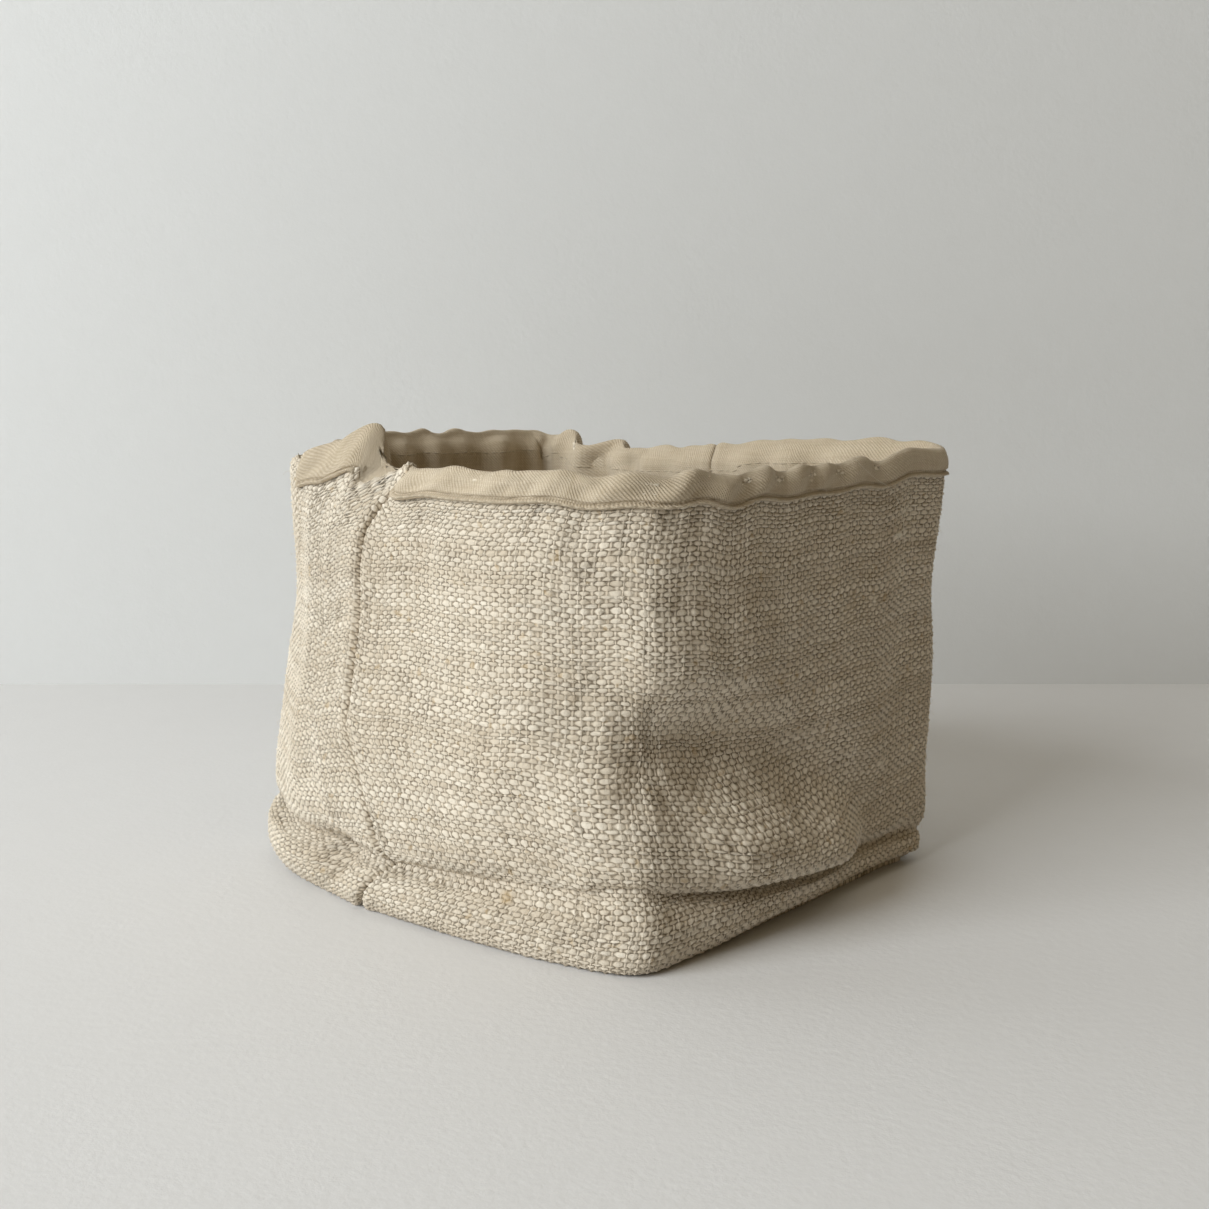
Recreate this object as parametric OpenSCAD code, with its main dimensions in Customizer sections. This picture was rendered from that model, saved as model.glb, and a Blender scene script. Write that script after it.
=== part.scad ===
// Squat lined cloth bag with a boxed bottom: a coarse hemp outer and a fine twill lining.
// Each of the two is cut as a front and a back panel, joined by seams at the middle of both
// side faces, along the middle of the base and across the two boxed ends of the base.
// The lining turns out over the rim as a narrow topstitched band.
// +Z is up, -Y is the front, and the origin is the middle of the resting face.

/* [Overall size] */
// Width of the base along the front face
base_w = 112; // [90:2:160]
// Depth of the base along the side faces
base_d = 144; // [116:2:200]
// Height of the rim at its nominal level
height = 110; // [84:2:150]

/* [Cloth] */
// Thickness of the coarse outer cloth
outer_t = 1.5; // [1:0.1:2]
// Thickness of the fine lining cloth
lining_t = 0.6; // [0.4:0.1:0.9]
// Clear gap between sewn layers
layer_gap = 0.2; // [0.1:0.05:0.3]

/* [Seams] */
// Width of the seam allowances
allowance = 8; // [5:0.5:12]
// Half width of the gap between two pressed-open allowances
seam_gap = 0.5; // [0.45:0.05:0.8]
// Depth of the hem that the outer cloth turns in at the rim
hem_depth = 10; // [8:0.5:16]
// Height of the lining band that shows outside the rim
band_h = 8; // [6:0.5:14]
// Distance of the topstitching above the band's lower edge
topstitch_in = 1.5; // [1:0.25:3]
// Diameter of the topstitching thread
top_thread_d = 0.6; // [0.4:0.1:0.9]
// Diameter of the seam thread
seam_thread_d = 0.4; // [0.3:0.05:0.5]

/* [Slump] */
// Height of the crease where the soft wall folds onto itself
fold_z = 19; // [12:1:30]
// Depth of that crease
fold_depth = 6; // [0:0.5:10]
// How far the lip below the crease stands out
lip = 2; // [0:0.5:4]
// How far the wall bellies out above the crease
belly = 2; // [0:0.5:6]
// How far the wall is drawn in at the waist
waist = 2.5; // [0:0.5:6]
// How far the side faces bow out at the base
side_bow = 11; // [0:0.5:16]
// How far the front and back faces bow out at the base
end_bow = 3; // [0:0.5:10]

/* [Hidden] */

hemp = [0.74, 0.69, 0.60];
twill = [0.70, 0.63, 0.52];
thread = [0.62, 0.55, 0.44];

front = 0;
back = 1;
left = -1;
right = 1;

// Layers of one wall, measured inwards from the outer face
folded_t = 2 * outer_t;
lining_in = folded_t + layer_gap + lining_t;
layers_t = lining_in + lining_t;
wall_top = height - outer_t - layer_gap - 2 * lining_t;

// Roundings: the lower edge in section, and the corners in plan at the base and at the rim
edge_r = layers_t + 0.7;
base_r = 9;
rim_r = 16;
least_r = 1.5;
edge_steps = 3;
arc_steps = 4;
face_steps = 4;

// Ramp that ends a folded layer
raw_edge = 0.6;
seam_steps = [0, seam_gap, seam_gap + raw_edge / 2, allowance, allowance + raw_edge];
seam_folded = [false, false, true, true, false];
side_steps = 3;

// Corners run front left, front right, back right, back left
base_corners = [
    [-base_w / 2, -base_d / 2], [base_w / 2, -base_d / 2],
    [base_w / 2, base_d / 2], [-base_w / 2, base_d / 2],
];
// How far each rim corner stands from the base corner below it
rim_lean = [[2, 4], [11, 6], [1, -2], [3, -9]];
// How far the rim stands above its nominal height, each eighth of a turn from the right side
rim_lift = [-2.5, 1.5, 5, -1, -1.5, 1, 0, 2];
// Share of the bow that is left at the rim
bow_at_rim = 0.4;

function mix(a, b, t) = a + (b - a) * t;
function unit(v) = v / norm(v);
function reversed(list) = [for (i = [len(list) - 1 : -1 : 0]) list[i]];
function joined(lists) = [for (list = lists) each list];

// Catmull-Rom curve through the points, with n steps to a span
function smooth(p, n) = concat(
    [for (i = [0 : len(p) - 2], k = [0 : n - 1])
        let (
            t = k / n,
            a = p[max(i - 1, 0)],
            b = p[i],
            c = p[i + 1],
            d = p[min(i + 2, len(p) - 1)]
        )
        (2 * b + (c - a) * t + (2 * a - 5 * b + 4 * c - d) * t * t + (3 * b - a - 3 * c + d) * t * t * t) / 2
    ],
    [p[len(p) - 1]]
);

// Section of the outer face from the resting face to the rim, as [distance out, height]
hem_z = wall_top - hem_depth;
edge_arc = [
    for (k = [0 : edge_steps - 1])
        let (a = 90 * k / edge_steps)
        edge_r * [sin(a) - 1, 1 - cos(a)]
];
slump = smooth([
    [0, edge_r],
    [lip, fold_z * 0.55],
    [lip * 0.6, fold_z * 0.8],
    [-fold_depth, fold_z],
    [-fold_depth * 0.3, fold_z * 1.22],
    [belly * 0.9, fold_z * 1.6],
    [belly, fold_z * 2.1],
    [0, mix(fold_z, hem_z, 0.5)],
    [-waist, mix(fold_z, hem_z, 0.72)],
    [0, hem_z - raw_edge],
], 2);
section = concat(edge_arc, slump, [[0, hem_z], [0, wall_top]]);
levels = len(section);
hem_level = levels - 2;

function section_out(j) =
    j == 0 ? [0, -1]
    : j >= hem_level - 1 ? [1, 0]
    : let (along = unit(section[j + 1] - section[j - 1])) [along.y, -along.x];

// Point of the section at level j, moved inwards by t
function inside(j, t) = section[j] - t * section_out(j);

// Share of the way from the crease to the rim, nought below the crease
function rise(z) = max(0, (z - fold_z) / (wall_top - fold_z));

// Outward normal of edge i of a plan, and the plan grown outwards by o
function edge_out(q, i) = let (e = q[(i + 1) % 4] - q[i]) unit([e.y, -e.x]);
function grown(q, o) = [
    for (i = [0 : 3])
        let (a = edge_out(q, (i + 3) % 4), b = edge_out(q, i))
        q[i] + o * (a + b) / (1 + a * b)
];

function plan(o, z) = grown([for (i = [0 : 3]) base_corners[i] + rise(z) * rim_lean[i]], o);
function plan_r(o, z) = max(mix(base_r, rim_r, rise(z)) + o, least_r);

function corner_arc(q, i, r) =
    let (
        a = edge_out(q, (i + 3) % 4),
        turn = acos(a * edge_out(q, i)),
        from = atan2(a.y, a.x),
        centre = grown(q, -r)[i]
    )
    [for (k = [0 : arc_steps]) let (t = from + turn * k / arc_steps) centre + r * [cos(t), sin(t)]];

function side_middle(q, i) = let (a = q[i], b = q[(i + 1) % 4]) a + (b - a) * a.y / (a.y - b.y);

// Columns from a side seam to where the corner starts
function seam_columns(from, to) =
    let (
        near = [for (s = seam_steps) from + s * unit(to - from)],
        last = near[len(near) - 1]
    )
    concat(near, [for (k = [1 : side_steps - 1]) mix(last, to, k / side_steps)]);

// Half of the outline, from one side seam to the other round the front or the back
function half_plan(half, o, z) =
    let (
        q = plan(o, z),
        r = plan_r(o, z),
        a = corner_arc(q, 2 * half, r),
        b = corner_arc(q, 2 * half + 1, r),
        face = [for (k = [1 : face_steps - 1]) mix(a[arc_steps], b[0], k / face_steps)]
    )
    concat(
        seam_columns(side_middle(q, (2 * half + 3) % 4), a[0]),
        a, face, b,
        reversed(seam_columns(side_middle(q, 2 * half + 1), b[arc_steps]))
    );

columns = len(half_plan(front, 0, 0));
function is_folded(c) =
    let (s = min(c, columns - 1 - c)) s < len(seam_folded) && seam_folded[s];

// Soft faces bow outwards, and the rim rises and dips
function bowed(p, z) =
    let (
        u = 2 * p.x / base_w,
        v = 2 * p.y / base_d,
        share = mix(1, bow_at_rim, rise(z))
    )
    p + share * [side_bow * u * max(0, 1 - v * v), end_bow * v * max(0, 1 - u * u)];
function lift(p) =
    let (
        turn = (atan2(p.y / base_d, p.x / base_w) + 360) / 45,
        i = floor(turn),
        f = turn - i
    )
    mix(rim_lift[i % 8], rim_lift[(i + 1) % 8], f * f * (3 - 2 * f));
function placed(p, z) =
    let (b = bowed(p, z), up = rise(z))
    [b.x, b.y, z + lift(p) * up * up];

// A row of points along half of the outline at section point s
function row(half, s) = [for (p = half_plan(half, s[0], s[1])) placed(p, s[1])];
// The same, with the folded columns taken at section point t
function folded_row(half, s, t) =
    let (plain = row(half, s), folded = row(half, t))
    [for (c = [0 : columns - 1]) is_folded(c) ? folded[c] : plain[c]];

// Closed skin between two grids of points, each a list of rows
module skin(outer_rows, inner_rows) {
    n = len(outer_rows[0]);
    m = len(outer_rows);
    far = n * m;
    quads = concat(
        [for (j = [0 : m - 2], c = [0 : n - 2])
            [j * n + c, (j + 1) * n + c, (j + 1) * n + c + 1, j * n + c + 1]],
        [for (j = [0 : m - 2], c = [0 : n - 2])
            [far + j * n + c, far + j * n + c + 1, far + (j + 1) * n + c + 1, far + (j + 1) * n + c]],
        [for (c = [0 : n - 2]) [c, c + 1, far + c + 1, far + c]],
        [for (c = [0 : n - 2], k = (m - 1) * n) [k + c, far + k + c, far + k + c + 1, k + c + 1]],
        [for (j = [0 : m - 2]) [j * n, far + j * n, far + (j + 1) * n, (j + 1) * n]],
        [for (j = [0 : m - 2], k = n - 1)
            [j * n + k, (j + 1) * n + k, far + (j + 1) * n + k, far + j * n + k]]
    );
    polyhedron(
        points = joined(concat(outer_rows, inner_rows)),
        faces = joined([for (q = quads) [[q[0], q[1], q[2]], [q[0], q[2], q[3]]]]),
        convexity = 10
    );
}

// Outline of half of the flat base, inset from the rounded lower edge
function base_outline(half, inset) = [for (p = half_plan(half, -edge_r - inset, 0)) bowed(p, 0)];

module base_half(half, low, high) {
    translate([0, 0, low])
        linear_extrude(high - low)
            polygon(base_outline(half, 0));
}

// Allowance across one boxed end, from the base seam to the front or the back
strip_steps = 6;
end_gap = 2 * seam_gap;
function end_strip(side, sign) =
    let (
        x = base_w / 2 - edge_r - end_gap,
        edge = [
            for (k = [0 : strip_steps])
                bowed([side * x, sign * mix(seam_gap, base_d / 2, k / strip_steps)], 0)
        ]
    )
    concat(edge, [for (p = reversed(edge)) p - [side * allowance, 0]]);

// Allowances of the base seam and of the two boxed ends, laid on the base
module base_allowances(half, low, high) {
    sign = half == front ? -1 : 1;
    translate([0, 0, low])
        linear_extrude(high - low)
            intersection() {
                polygon(base_outline(half, end_gap));
                union() {
                    translate([-base_w, half == front ? -allowance : seam_gap])
                        square([2 * base_w, allowance - seam_gap]);
                    for (side = [left, right])
                        polygon(end_strip(side, sign));
                }
            }
}

module outer_panel(half) {
    color(hemp) {
        skin(
            [for (j = [0 : levels - 1]) row(half, section[j])],
            [for (j = [0 : levels - 1])
                j >= hem_level
                    ? row(half, inside(j, folded_t))
                    : folded_row(half, inside(j, outer_t), inside(j, folded_t))]
        );
        base_half(half, 0, outer_t);
        base_allowances(half, outer_t, folded_t);
    }
}

// The lining's section over the rim, at a distance r from the middle of the folded hem
rim_steps = 6;
function over_rim(r) = [
    for (k = [1 : rim_steps])
        let (a = 180 - 180 * k / rim_steps)
        [-outer_t + r * cos(a), wall_top + r * sin(a)]
];
band_z = wall_top - band_h;
band_fold_z = wall_top - 2;
band_out = layer_gap + 2 * lining_t;

module lining_panel(half) {
    over_r = outer_t + layer_gap;
    color(twill) {
        skin(
            concat(
                [for (j = [0 : levels - 1])
                    folded_row(half, inside(j, lining_in), inside(j, lining_in - lining_t))],
                [for (k = [0 : rim_steps - 1])
                    folded_row(half, over_rim(over_r + lining_t)[k], over_rim(over_r)[k])],
                [row(half, [layer_gap, band_fold_z]), row(half, [layer_gap, band_z])]
            ),
            concat(
                [for (j = [0 : levels - 1]) row(half, inside(j, layers_t))],
                [for (s = over_rim(over_r + 2 * lining_t)) row(half, s)],
                [row(half, [band_out, band_fold_z]), row(half, [band_out, band_z])]
            )
        );
        base_half(half, lining_in, layers_t);
        base_allowances(half, lining_in - lining_t, lining_in);
    }
}

// Thread swept along a path, its first side facing away from ref
thread_sides = 6;
module strand(path, d, ref, closed = false) {
    n = len(path);
    rings = [
        for (i = [0 : n - 1])
            let (
                before = closed ? path[(i + n - 1) % n] : path[max(i - 1, 0)],
                after = closed ? path[(i + 1) % n] : path[min(i + 1, n - 1)],
                along = unit(after - before),
                across = unit(cross(along, ref)),
                up = cross(across, along)
            )
            [for (k = [0 : thread_sides - 1])
                let (a = 360 * (k + 0.5) / thread_sides)
                path[i] + d / 2 * (cos(a) * across + sin(a) * up)]
    ];
    spans = closed ? n - 1 : n - 2;
    quads = [
        for (i = [0 : spans], k = [0 : thread_sides - 1])
            let (a = i * thread_sides, b = (i + 1) % n * thread_sides, l = (k + 1) % thread_sides)
            [a + k, b + k, b + l, a + l]
    ];
    ends = closed ? [] : [
        [for (k = [0 : thread_sides - 1]) k],
        [for (k = [thread_sides - 1 : -1 : 0]) (n - 1) * thread_sides + k],
    ];
    color(thread)
        polyhedron(
            points = joined(rings),
            faces = concat(joined([for (q = quads) [[q[0], q[1], q[2]], [q[0], q[2], q[3]]]]), ends),
            convexity = 10
        );
}

// Whole outline at section point s, as one closed list
function whole_row(s) =
    let (a = row(front, s), b = row(back, s))
    concat([for (i = [0 : columns - 2]) a[i]], [for (i = [0 : columns - 2]) b[i]]);

topstitch_z = band_z + topstitch_in;
module rim_thread(out) {
    strand(whole_row([out, topstitch_z]), top_thread_d, [0, 0, 1], closed = true);
}

// Seam thread up the middle of a side face, t inside the outer face
first_level = edge_steps + 1;
module side_seam(side, t) {
    path = [
        for (j = [first_level : hem_level - 1])
            let (r = row(front, inside(j, t)))
            side == left ? r[0] : r[columns - 1]
    ];
    strand(path, seam_thread_d, [0, side, 0]);
}

module base_seam(z) {
    reach = base_w / 2 + side_bow - edge_r - allowance - end_gap;
    strand([[-reach, 0, z], [0, 0, z], [reach, 0, z]], seam_thread_d, [0, 0, 1]);
}

// Thread across one boxed end of the base
module corner_seam(side, z) {
    reach = base_d / 2 - base_r;
    steps = 2 * strip_steps;
    x = side * (base_w / 2 - edge_r - end_gap / 2);
    path = [
        for (k = [0 : steps])
            let (p = bowed([x, mix(-reach, reach, k / steps)], 0))
            [p.x, p.y, z]
    ];
    strand(path, seam_thread_d, [0, 0, 1]);
}

// A thread lies one gap off the cloth that it is sewn in, and two in the curved lining walls
top_lie = top_thread_d / 2 + layer_gap;
seam_lie = seam_thread_d / 2 + layer_gap;
wall_lie = seam_lie + layer_gap;

outer_panel(front);  // outer_front_panel
outer_panel(back);  // outer_back_panel
lining_panel(front);  // lining_front_panel
lining_panel(back);  // lining_back_panel
rim_thread(band_out + top_lie);  // rim_needle_thread
rim_thread(-layers_t - top_lie);  // rim_bobbin_thread
side_seam(left, outer_t + seam_lie);  // outer_side_seam_left
side_seam(right, outer_t + seam_lie);  // outer_side_seam_right
base_seam(outer_t + seam_lie);  // outer_base_seam
corner_seam(left, outer_t + seam_lie);  // outer_corner_seam_left
corner_seam(right, outer_t + seam_lie);  // outer_corner_seam_right
side_seam(left, lining_in - wall_lie);  // lining_side_seam_left
side_seam(right, lining_in - wall_lie);  // lining_side_seam_right
base_seam(lining_in - seam_lie);  // lining_base_seam
corner_seam(left, lining_in - seam_lie);  // lining_corner_seam_left
corner_seam(right, lining_in - seam_lie);  // lining_corner_seam_right
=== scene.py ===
"""A squat bag of coarse hemp cloth, slumped on a table, with a twill lining turned out over its rim."""
import math

import bpy
import numpy as np
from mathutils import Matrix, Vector


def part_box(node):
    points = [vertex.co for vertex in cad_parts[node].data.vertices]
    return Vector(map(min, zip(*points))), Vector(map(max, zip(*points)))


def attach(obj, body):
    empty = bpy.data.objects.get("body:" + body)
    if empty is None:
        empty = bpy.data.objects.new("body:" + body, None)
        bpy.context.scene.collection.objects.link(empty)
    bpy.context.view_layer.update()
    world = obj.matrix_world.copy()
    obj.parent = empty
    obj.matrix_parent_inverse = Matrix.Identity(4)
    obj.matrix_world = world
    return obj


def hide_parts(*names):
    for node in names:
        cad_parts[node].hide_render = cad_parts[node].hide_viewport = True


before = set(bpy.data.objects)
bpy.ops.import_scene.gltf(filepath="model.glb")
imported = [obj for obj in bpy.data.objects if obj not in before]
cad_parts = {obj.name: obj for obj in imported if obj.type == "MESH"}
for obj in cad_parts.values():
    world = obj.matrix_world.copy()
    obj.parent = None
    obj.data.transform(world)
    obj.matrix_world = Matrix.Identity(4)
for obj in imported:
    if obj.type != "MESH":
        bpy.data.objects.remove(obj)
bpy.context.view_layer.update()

# Lengths are in millimetres until a mesh is made.
MM = 0.001


def box_mm(*nodes):
    """Lowest and highest corner of some CAD nodes together."""
    boxes = [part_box(node) for node in nodes]
    low = np.min([list(b[0]) for b in boxes], axis=0) / MM
    high = np.max([list(b[1]) for b in boxes], axis=0) / MM
    return low, high


OUTER_LOW, OUTER_HIGH = box_mm("outer_front_panel", "outer_back_panel")
HALF_W = (OUTER_HIGH[0] - OUTER_LOW[0]) / 2
HALF_D = (OUTER_HIGH[1] - OUTER_LOW[1]) / 2
RIM_Z = box_mm("lining_front_panel", "lining_back_panel")[1][2]

# --- the bag's shape --------------------------------------------------------------------------

# The bag's outline, anticlockwise from the left side seam. Places are shares of the half width,
# the half depth and the rim height; the last four are in mm: the crease's height and depth, and
# how far the lip below it and the belly above it stand out.
STATIONS = {
    #                base x, base y, rim x,  rim y,  rim z, crease z, deep, lip, belly
    "left_seam":    (-1.06,  0.00, -0.86,  0.00, 0.945, 13, 3.6, 2.0, 2.5),
    "left_front":   (-1.01, -0.38, -0.86, -0.38, 0.955, 15, 2.4, 1.5, 2.0),
    "near_left":    (-0.94, -0.70, -0.80, -0.63, 0.958, 17, 1.5, 1.2, 1.0),
    "near_corner":  (-0.82, -0.95, -0.66, -0.84, 0.957, 19.5, 1.6, 0.8, 0.0),
    "front_1":      (-0.58, -0.99, -0.46, -0.92, 0.955, 16, 4.2, 1.0, 0.5),
    "front_2":      (-0.23, -0.99, -0.17, -0.94, 0.952, 13, 4.6, 1.5, 2.5),
    "front_3":      (0.24, -0.98, 0.29, -0.93, 0.954, 11, 2.6, 1.0, 2.5),
    "front_4":      (0.60, -0.97, 0.70, -0.93, 0.963, 9.5, 1.6, 0.5, 2.0),
    "far_corner":   (0.79, -0.95, 1.02, -0.88, 0.971, 8.5, 1.2, 0.0, 1.5),
    "right_front":  (0.91, -0.52, 0.92, -0.43, 0.974, 8, 3.0, 1.0, 2.0),
    "right_seam":   (0.97, 0.00, 0.83, 0.00, 0.950, 12, 5.0, 1.0, 2.0),
    "right_back":   (0.91, 0.52, 0.80, 0.44, 0.932, 13, 5.0, 1.0, 2.0),
    "back_right":   (0.77, 0.91, 0.77, 0.88, 0.963, 14, 6.0, 1.0, 2.0),
    "back_1":       (0.36, 0.97, 0.34, 0.94, 0.972, 14, 5.0, 1.0, 2.0),
    "back_2":       (-0.28, 0.96, -0.21, 0.94, 0.980, 15, 5.0, 1.0, 2.0),
    "back_left":    (-0.80, 0.88, -0.72, 0.80, 0.945, 16, 5.0, 1.0, 2.0),
    "left_back":    (-1.00, 0.60, -0.84, 0.58, 0.958, 14, 4.0, 2.5, 2.0),
    "ear_back":     (-1.05, 0.40, -0.86, 0.41, 0.995, 13.5, 4.4, 2.5, 3.0),
    "ear":          (-1.06, 0.28, -0.87, 0.28, 1.040, 13.5, 4.4, 2.0, 3.0),
    "ear_front":    (-1.07, 0.19, -0.87, 0.19, 0.955, 13, 4.0, 2.0, 3.0),
}
STATION_NAMES = list(STATIONS)
STATION_TABLE = np.array([STATIONS[name] for name in STATION_NAMES], float)
STATION_TABLE[:, [0, 2]] *= HALF_W
STATION_TABLE[:, [1, 3]] *= HALF_D
STATION_TABLE[:, 4] *= RIM_Z
MIDDLES = (STATION_TABLE[:, 0:2] + STATION_TABLE[:, 2:4]) / 2
KNOTS = np.concatenate([[0], np.cumsum(np.linalg.norm(np.roll(MIDDLES, -1, axis=0) - MIDDLES, axis=1))])
ROUND = KNOTS[-1]

# Soft folds in the walls. Each runs through points (station, mm past it, height, half width, out);
# a negative last number presses the wall in.
FOLDS = {
    "valley": [
        ("near_corner", -28, 58, 8, 0.0), ("near_corner", -13, 56, 8, -3.0),
        ("near_corner", 4, 52, 11, -9.5), ("near_corner", 24, 47, 13, -12.0),
        ("near_corner", 50, 40, 12, -9.0), ("near_corner", 78, 28, 9, -4.5),
        ("near_corner", 100, 15, 7, 0.0),
    ],
    "knee": [
        ("near_corner", -34, 34, 11, 0.0), ("near_corner", -14, 33, 11, 2.5),
        ("near_corner", 6, 27, 12, 2.0), ("near_corner", 30, 24, 13, 8.5),
        ("near_corner", 56, 19, 10, 9.5), ("near_corner", 84, 14, 7, 0.0),
    ],
    "shoulder": [
        ("near_corner", -16, 68, 10, 0.0), ("near_corner", 8, 68, 10, 2.0),
        ("near_corner", 44, 71, 11, 2.6), ("near_corner", 84, 76, 12, 1.5),
        ("near_corner", 110, 80, 12, 0.0),
    ],
    "left_ridge": [
        ("near_corner", -38, 26, 10, 0.0), ("near_corner", -36, 44, 10, 1.5),
        ("near_corner", -32, 72, 11, 1.2), ("near_corner", -30, 96, 10, 0.0),
    ],
    "left_slack": [
        ("left_seam", 2, 62, 14, 0.0), ("left_seam", 22, 56, 15, -1.4),
        ("left_seam", 46, 60, 13, 0.0),
    ],
    "ear_lean": [
        ("left_seam", 16, 113, 12, 0.0), ("left_seam", 0, 114, 14, -2.5),
        ("ear", 8, 116, 15, -9.0), ("ear", 0, 122, 18, -11.0),
        ("ear", -12, 118, 14, -6.0), ("ear", -30, 114, 12, 0.0),
    ],
    "seam_pit": [
        ("left_seam", -8, 12, 5, -1.0), ("left_seam", -18, 11, 6, -6.5),
        ("left_seam", -29, 12, 5, -1.0),
    ],
    "pleat_ridge": [
        ("right_back", 15, 118, 4, -4.5), ("right_back", 17, 80, 5, -5.0),
        ("right_back", 18, 50, 6, 0.0),
    ],
    "pleat_hollow": [
        ("right_back", 7, 118, 4, 4.5), ("right_back", 8, 80, 5, 4.5),
        ("right_back", 9, 50, 6, 0.0),
    ],
    "right_slack": [
        ("right_seam", -34, 46, 16, 0.0), ("right_seam", -6, 54, 18, -3.0),
        ("right_seam", 30, 66, 16, 0.0),
    ],
    "back_roll": [
        ("back_right", 0, 40, 10, 0.0), ("back_right", 24, 46, 12, -4.0),
        ("back_1", 30, 52, 12, -4.5), ("back_left", -22, 42, 10, 0.0),
    ],
}

# The hemp: from one yarn to the next, yarns in a panel, thickness, and how far the beads stand up
WARP_PITCH = 1.46
WEFT_PITCH = 1.04
PANEL_WARPS = 176
PANEL_WEFTS = 118
OUTER_T = 1.1
YARN_RELIEF = 0.33
# The twill: thickness, from one rib to the next, and how far it lies behind the hemp
LINING_T = 0.5
TWILL_PITCH = 0.60
LINING_BEHIND = 4.0
LINING_AT_RIM = 3.0
# The rim: its rounding, the band's height, its stitches above the band's edge, and the ear's rise
RIM_ROLL = 1.1
BAND_H = 8.6
STITCH_UP = 0.62
EAR_RISE = 10.0
# How far the lower front edge curls up off the table
FRONT_CURL = 1.3
# How soon the walls take up the rim's outline as they rise
LEAN_CURVE = 1.8
# The side seams' groove, and the ridges of the allowances on both sides of it
SEAM_DIP = 1.9
SEAM_RIDGE = 0.45
# The loose lining: how far it stands off the wall, and its hanging and leaning folds
LOOSE_OUT = 0.9
HANGING_OUT = 1.4
LEANING_OUT = 0.8
# The band: its puckers, the groove and welt at its stitches, and its edge turned in
PUCKER_OUT = 0.75
GROOVE_DEPTH = 0.6
WELT_OUT = 0.3
EDGE_TURN = 0.95
# Waves round the bag: how far each leans with height, its shortest and longest wave, and its seed
RIM_WAVES = (0.0, 15, 40, 11)
HANGING_WAVES = (0.10, 13, 30, 5)
LEANING_WAVES = (-0.65, 24, 60, 8)
PUCKER_WAVES = (0.6, 12, 26, 23)
SMALL_PUCKER_WAVES = (0.6, 7, 12, 29)


def hermite(values, knots, at):
    """Smooth periodic curve through the values at the knots; the last knot closes the loop."""
    n = len(values)
    at = np.mod(at, knots[-1])
    i = np.clip(np.searchsorted(knots, at, side="right") - 1, 0, n - 1)
    j = (i + 1) % n
    span = np.diff(knots)

    def slope(k):
        return (values[(k + 1) % n] - values[(k - 1) % n]) / (span[(k - 1) % n] + span[k % n])[:, None]

    h = span[i][:, None]
    t = (at - knots[i])[:, None] / h
    return (
        (2 * t**3 - 3 * t**2 + 1) * values[i]
        + (t**3 - 2 * t**2 + t) * h * slope(i)
        + (3 * t**2 - 2 * t**3) * values[j]
        + (t**3 - t**2) * h * slope(j)
    )


def place(name, offset=0.0):
    """Distance round the bag of a station, anticlockwise from the left seam."""
    return KNOTS[STATION_NAMES.index(name)] + offset


def from_place(s, at):
    """Signed distance round the bag from a place."""
    return np.mod(s - at + ROUND / 2, ROUND) - ROUND / 2


def bell(x, width=1.0):
    return np.exp(-((x / width) ** 2))


def ease(x):
    x = np.clip(x, 0, 1)
    return x * x * (3 - 2 * x)


def ripple(s, height, waves):
    """Smooth periodic noise round the bag, mostly between -1 and 1."""
    lean, shortest, longest, seed = waves
    s = s + lean * height
    rng = np.random.default_rng(seed)
    low, high = int(ROUND / longest), int(ROUND / shortest)
    total = np.zeros_like(s)
    for k in range(low, high + 1):
        total += rng.normal() * np.sin(2 * np.pi * k * s / ROUND + rng.uniform(0, 2 * np.pi))
    return total / math.sqrt(high - low + 1)


def fold_depth(s, z):
    """How far all the folds together move the wall outwards at a place and a height."""
    total = np.zeros(z.shape)
    for points in FOLDS.values():
        first = place(points[0][0], points[0][1])
        spots = np.array([[from_place(place(n, o), first), h, w, out] for n, o, h, w, out in points])
        here = from_place(s, first + spots[-1, 0] / 2) + spots[-1, 0] / 2
        nearest = np.full(z.shape, np.inf)
        depth = np.zeros(z.shape)
        for a, b in zip(spots[:-1], spots[1:]):
            ds, dz = b[0] - a[0], b[1] - a[1]
            t = np.clip(((here - a[0]) * ds + (z - a[1]) * dz) / (ds * ds + dz * dz), 0, 1)
            away = (here - a[0] - t * ds) ** 2 + (z - a[1] - t * dz) ** 2
            level = ease(t)
            width = a[2] + level * (b[2] - a[2])
            here_depth = (a[3] + level * (b[3] - a[3])) * np.exp(-away / width**2)
            closer = away < nearest
            depth = np.where(closer, here_depth, depth)
            nearest = np.minimum(away, nearest)
        total += depth
    return total


def outline(s):
    """Station values and the outward normals at the base and the rim, round the bag."""
    table = hermite(STATION_TABLE, KNOTS, s)
    table[:, 4] += 0.55 * ripple(s, 0.0, RIM_WAVES)
    ahead = hermite(STATION_TABLE, KNOTS, s + 1.5)
    behind = hermite(STATION_TABLE, KNOTS, s - 1.5)

    def normal(columns):
        along = ahead[:, columns] - behind[:, columns]
        out = np.stack([along[:, 1], -along[:, 0]], axis=1)
        return out / np.linalg.norm(out, axis=1)[:, None]

    return table, normal([0, 1]), normal([2, 3])


def smooth_section(points, per_span=12):
    """Catmull-Rom curves through the control points of every column's section."""
    first, last = 2 * points[:, :1] - points[:, 1:2], 2 * points[:, -1:] - points[:, -2:-1]
    p = np.concatenate([first, points, last], axis=1)
    t = np.linspace(0, 1, per_span, endpoint=False)[None, :, None]
    pieces = []
    for i in range(points.shape[1] - 1):
        a, b, c, d = (p[:, i + k][:, None] for k in range(4))
        pieces.append(0.5 * (2 * b + (c - a) * t + (2 * a - 5 * b + 4 * c - d) * t**2
                             + (3 * b - a - 3 * c + d) * t**3))
    return np.concatenate(pieces + [points[:, -1:]], axis=1)


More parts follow.
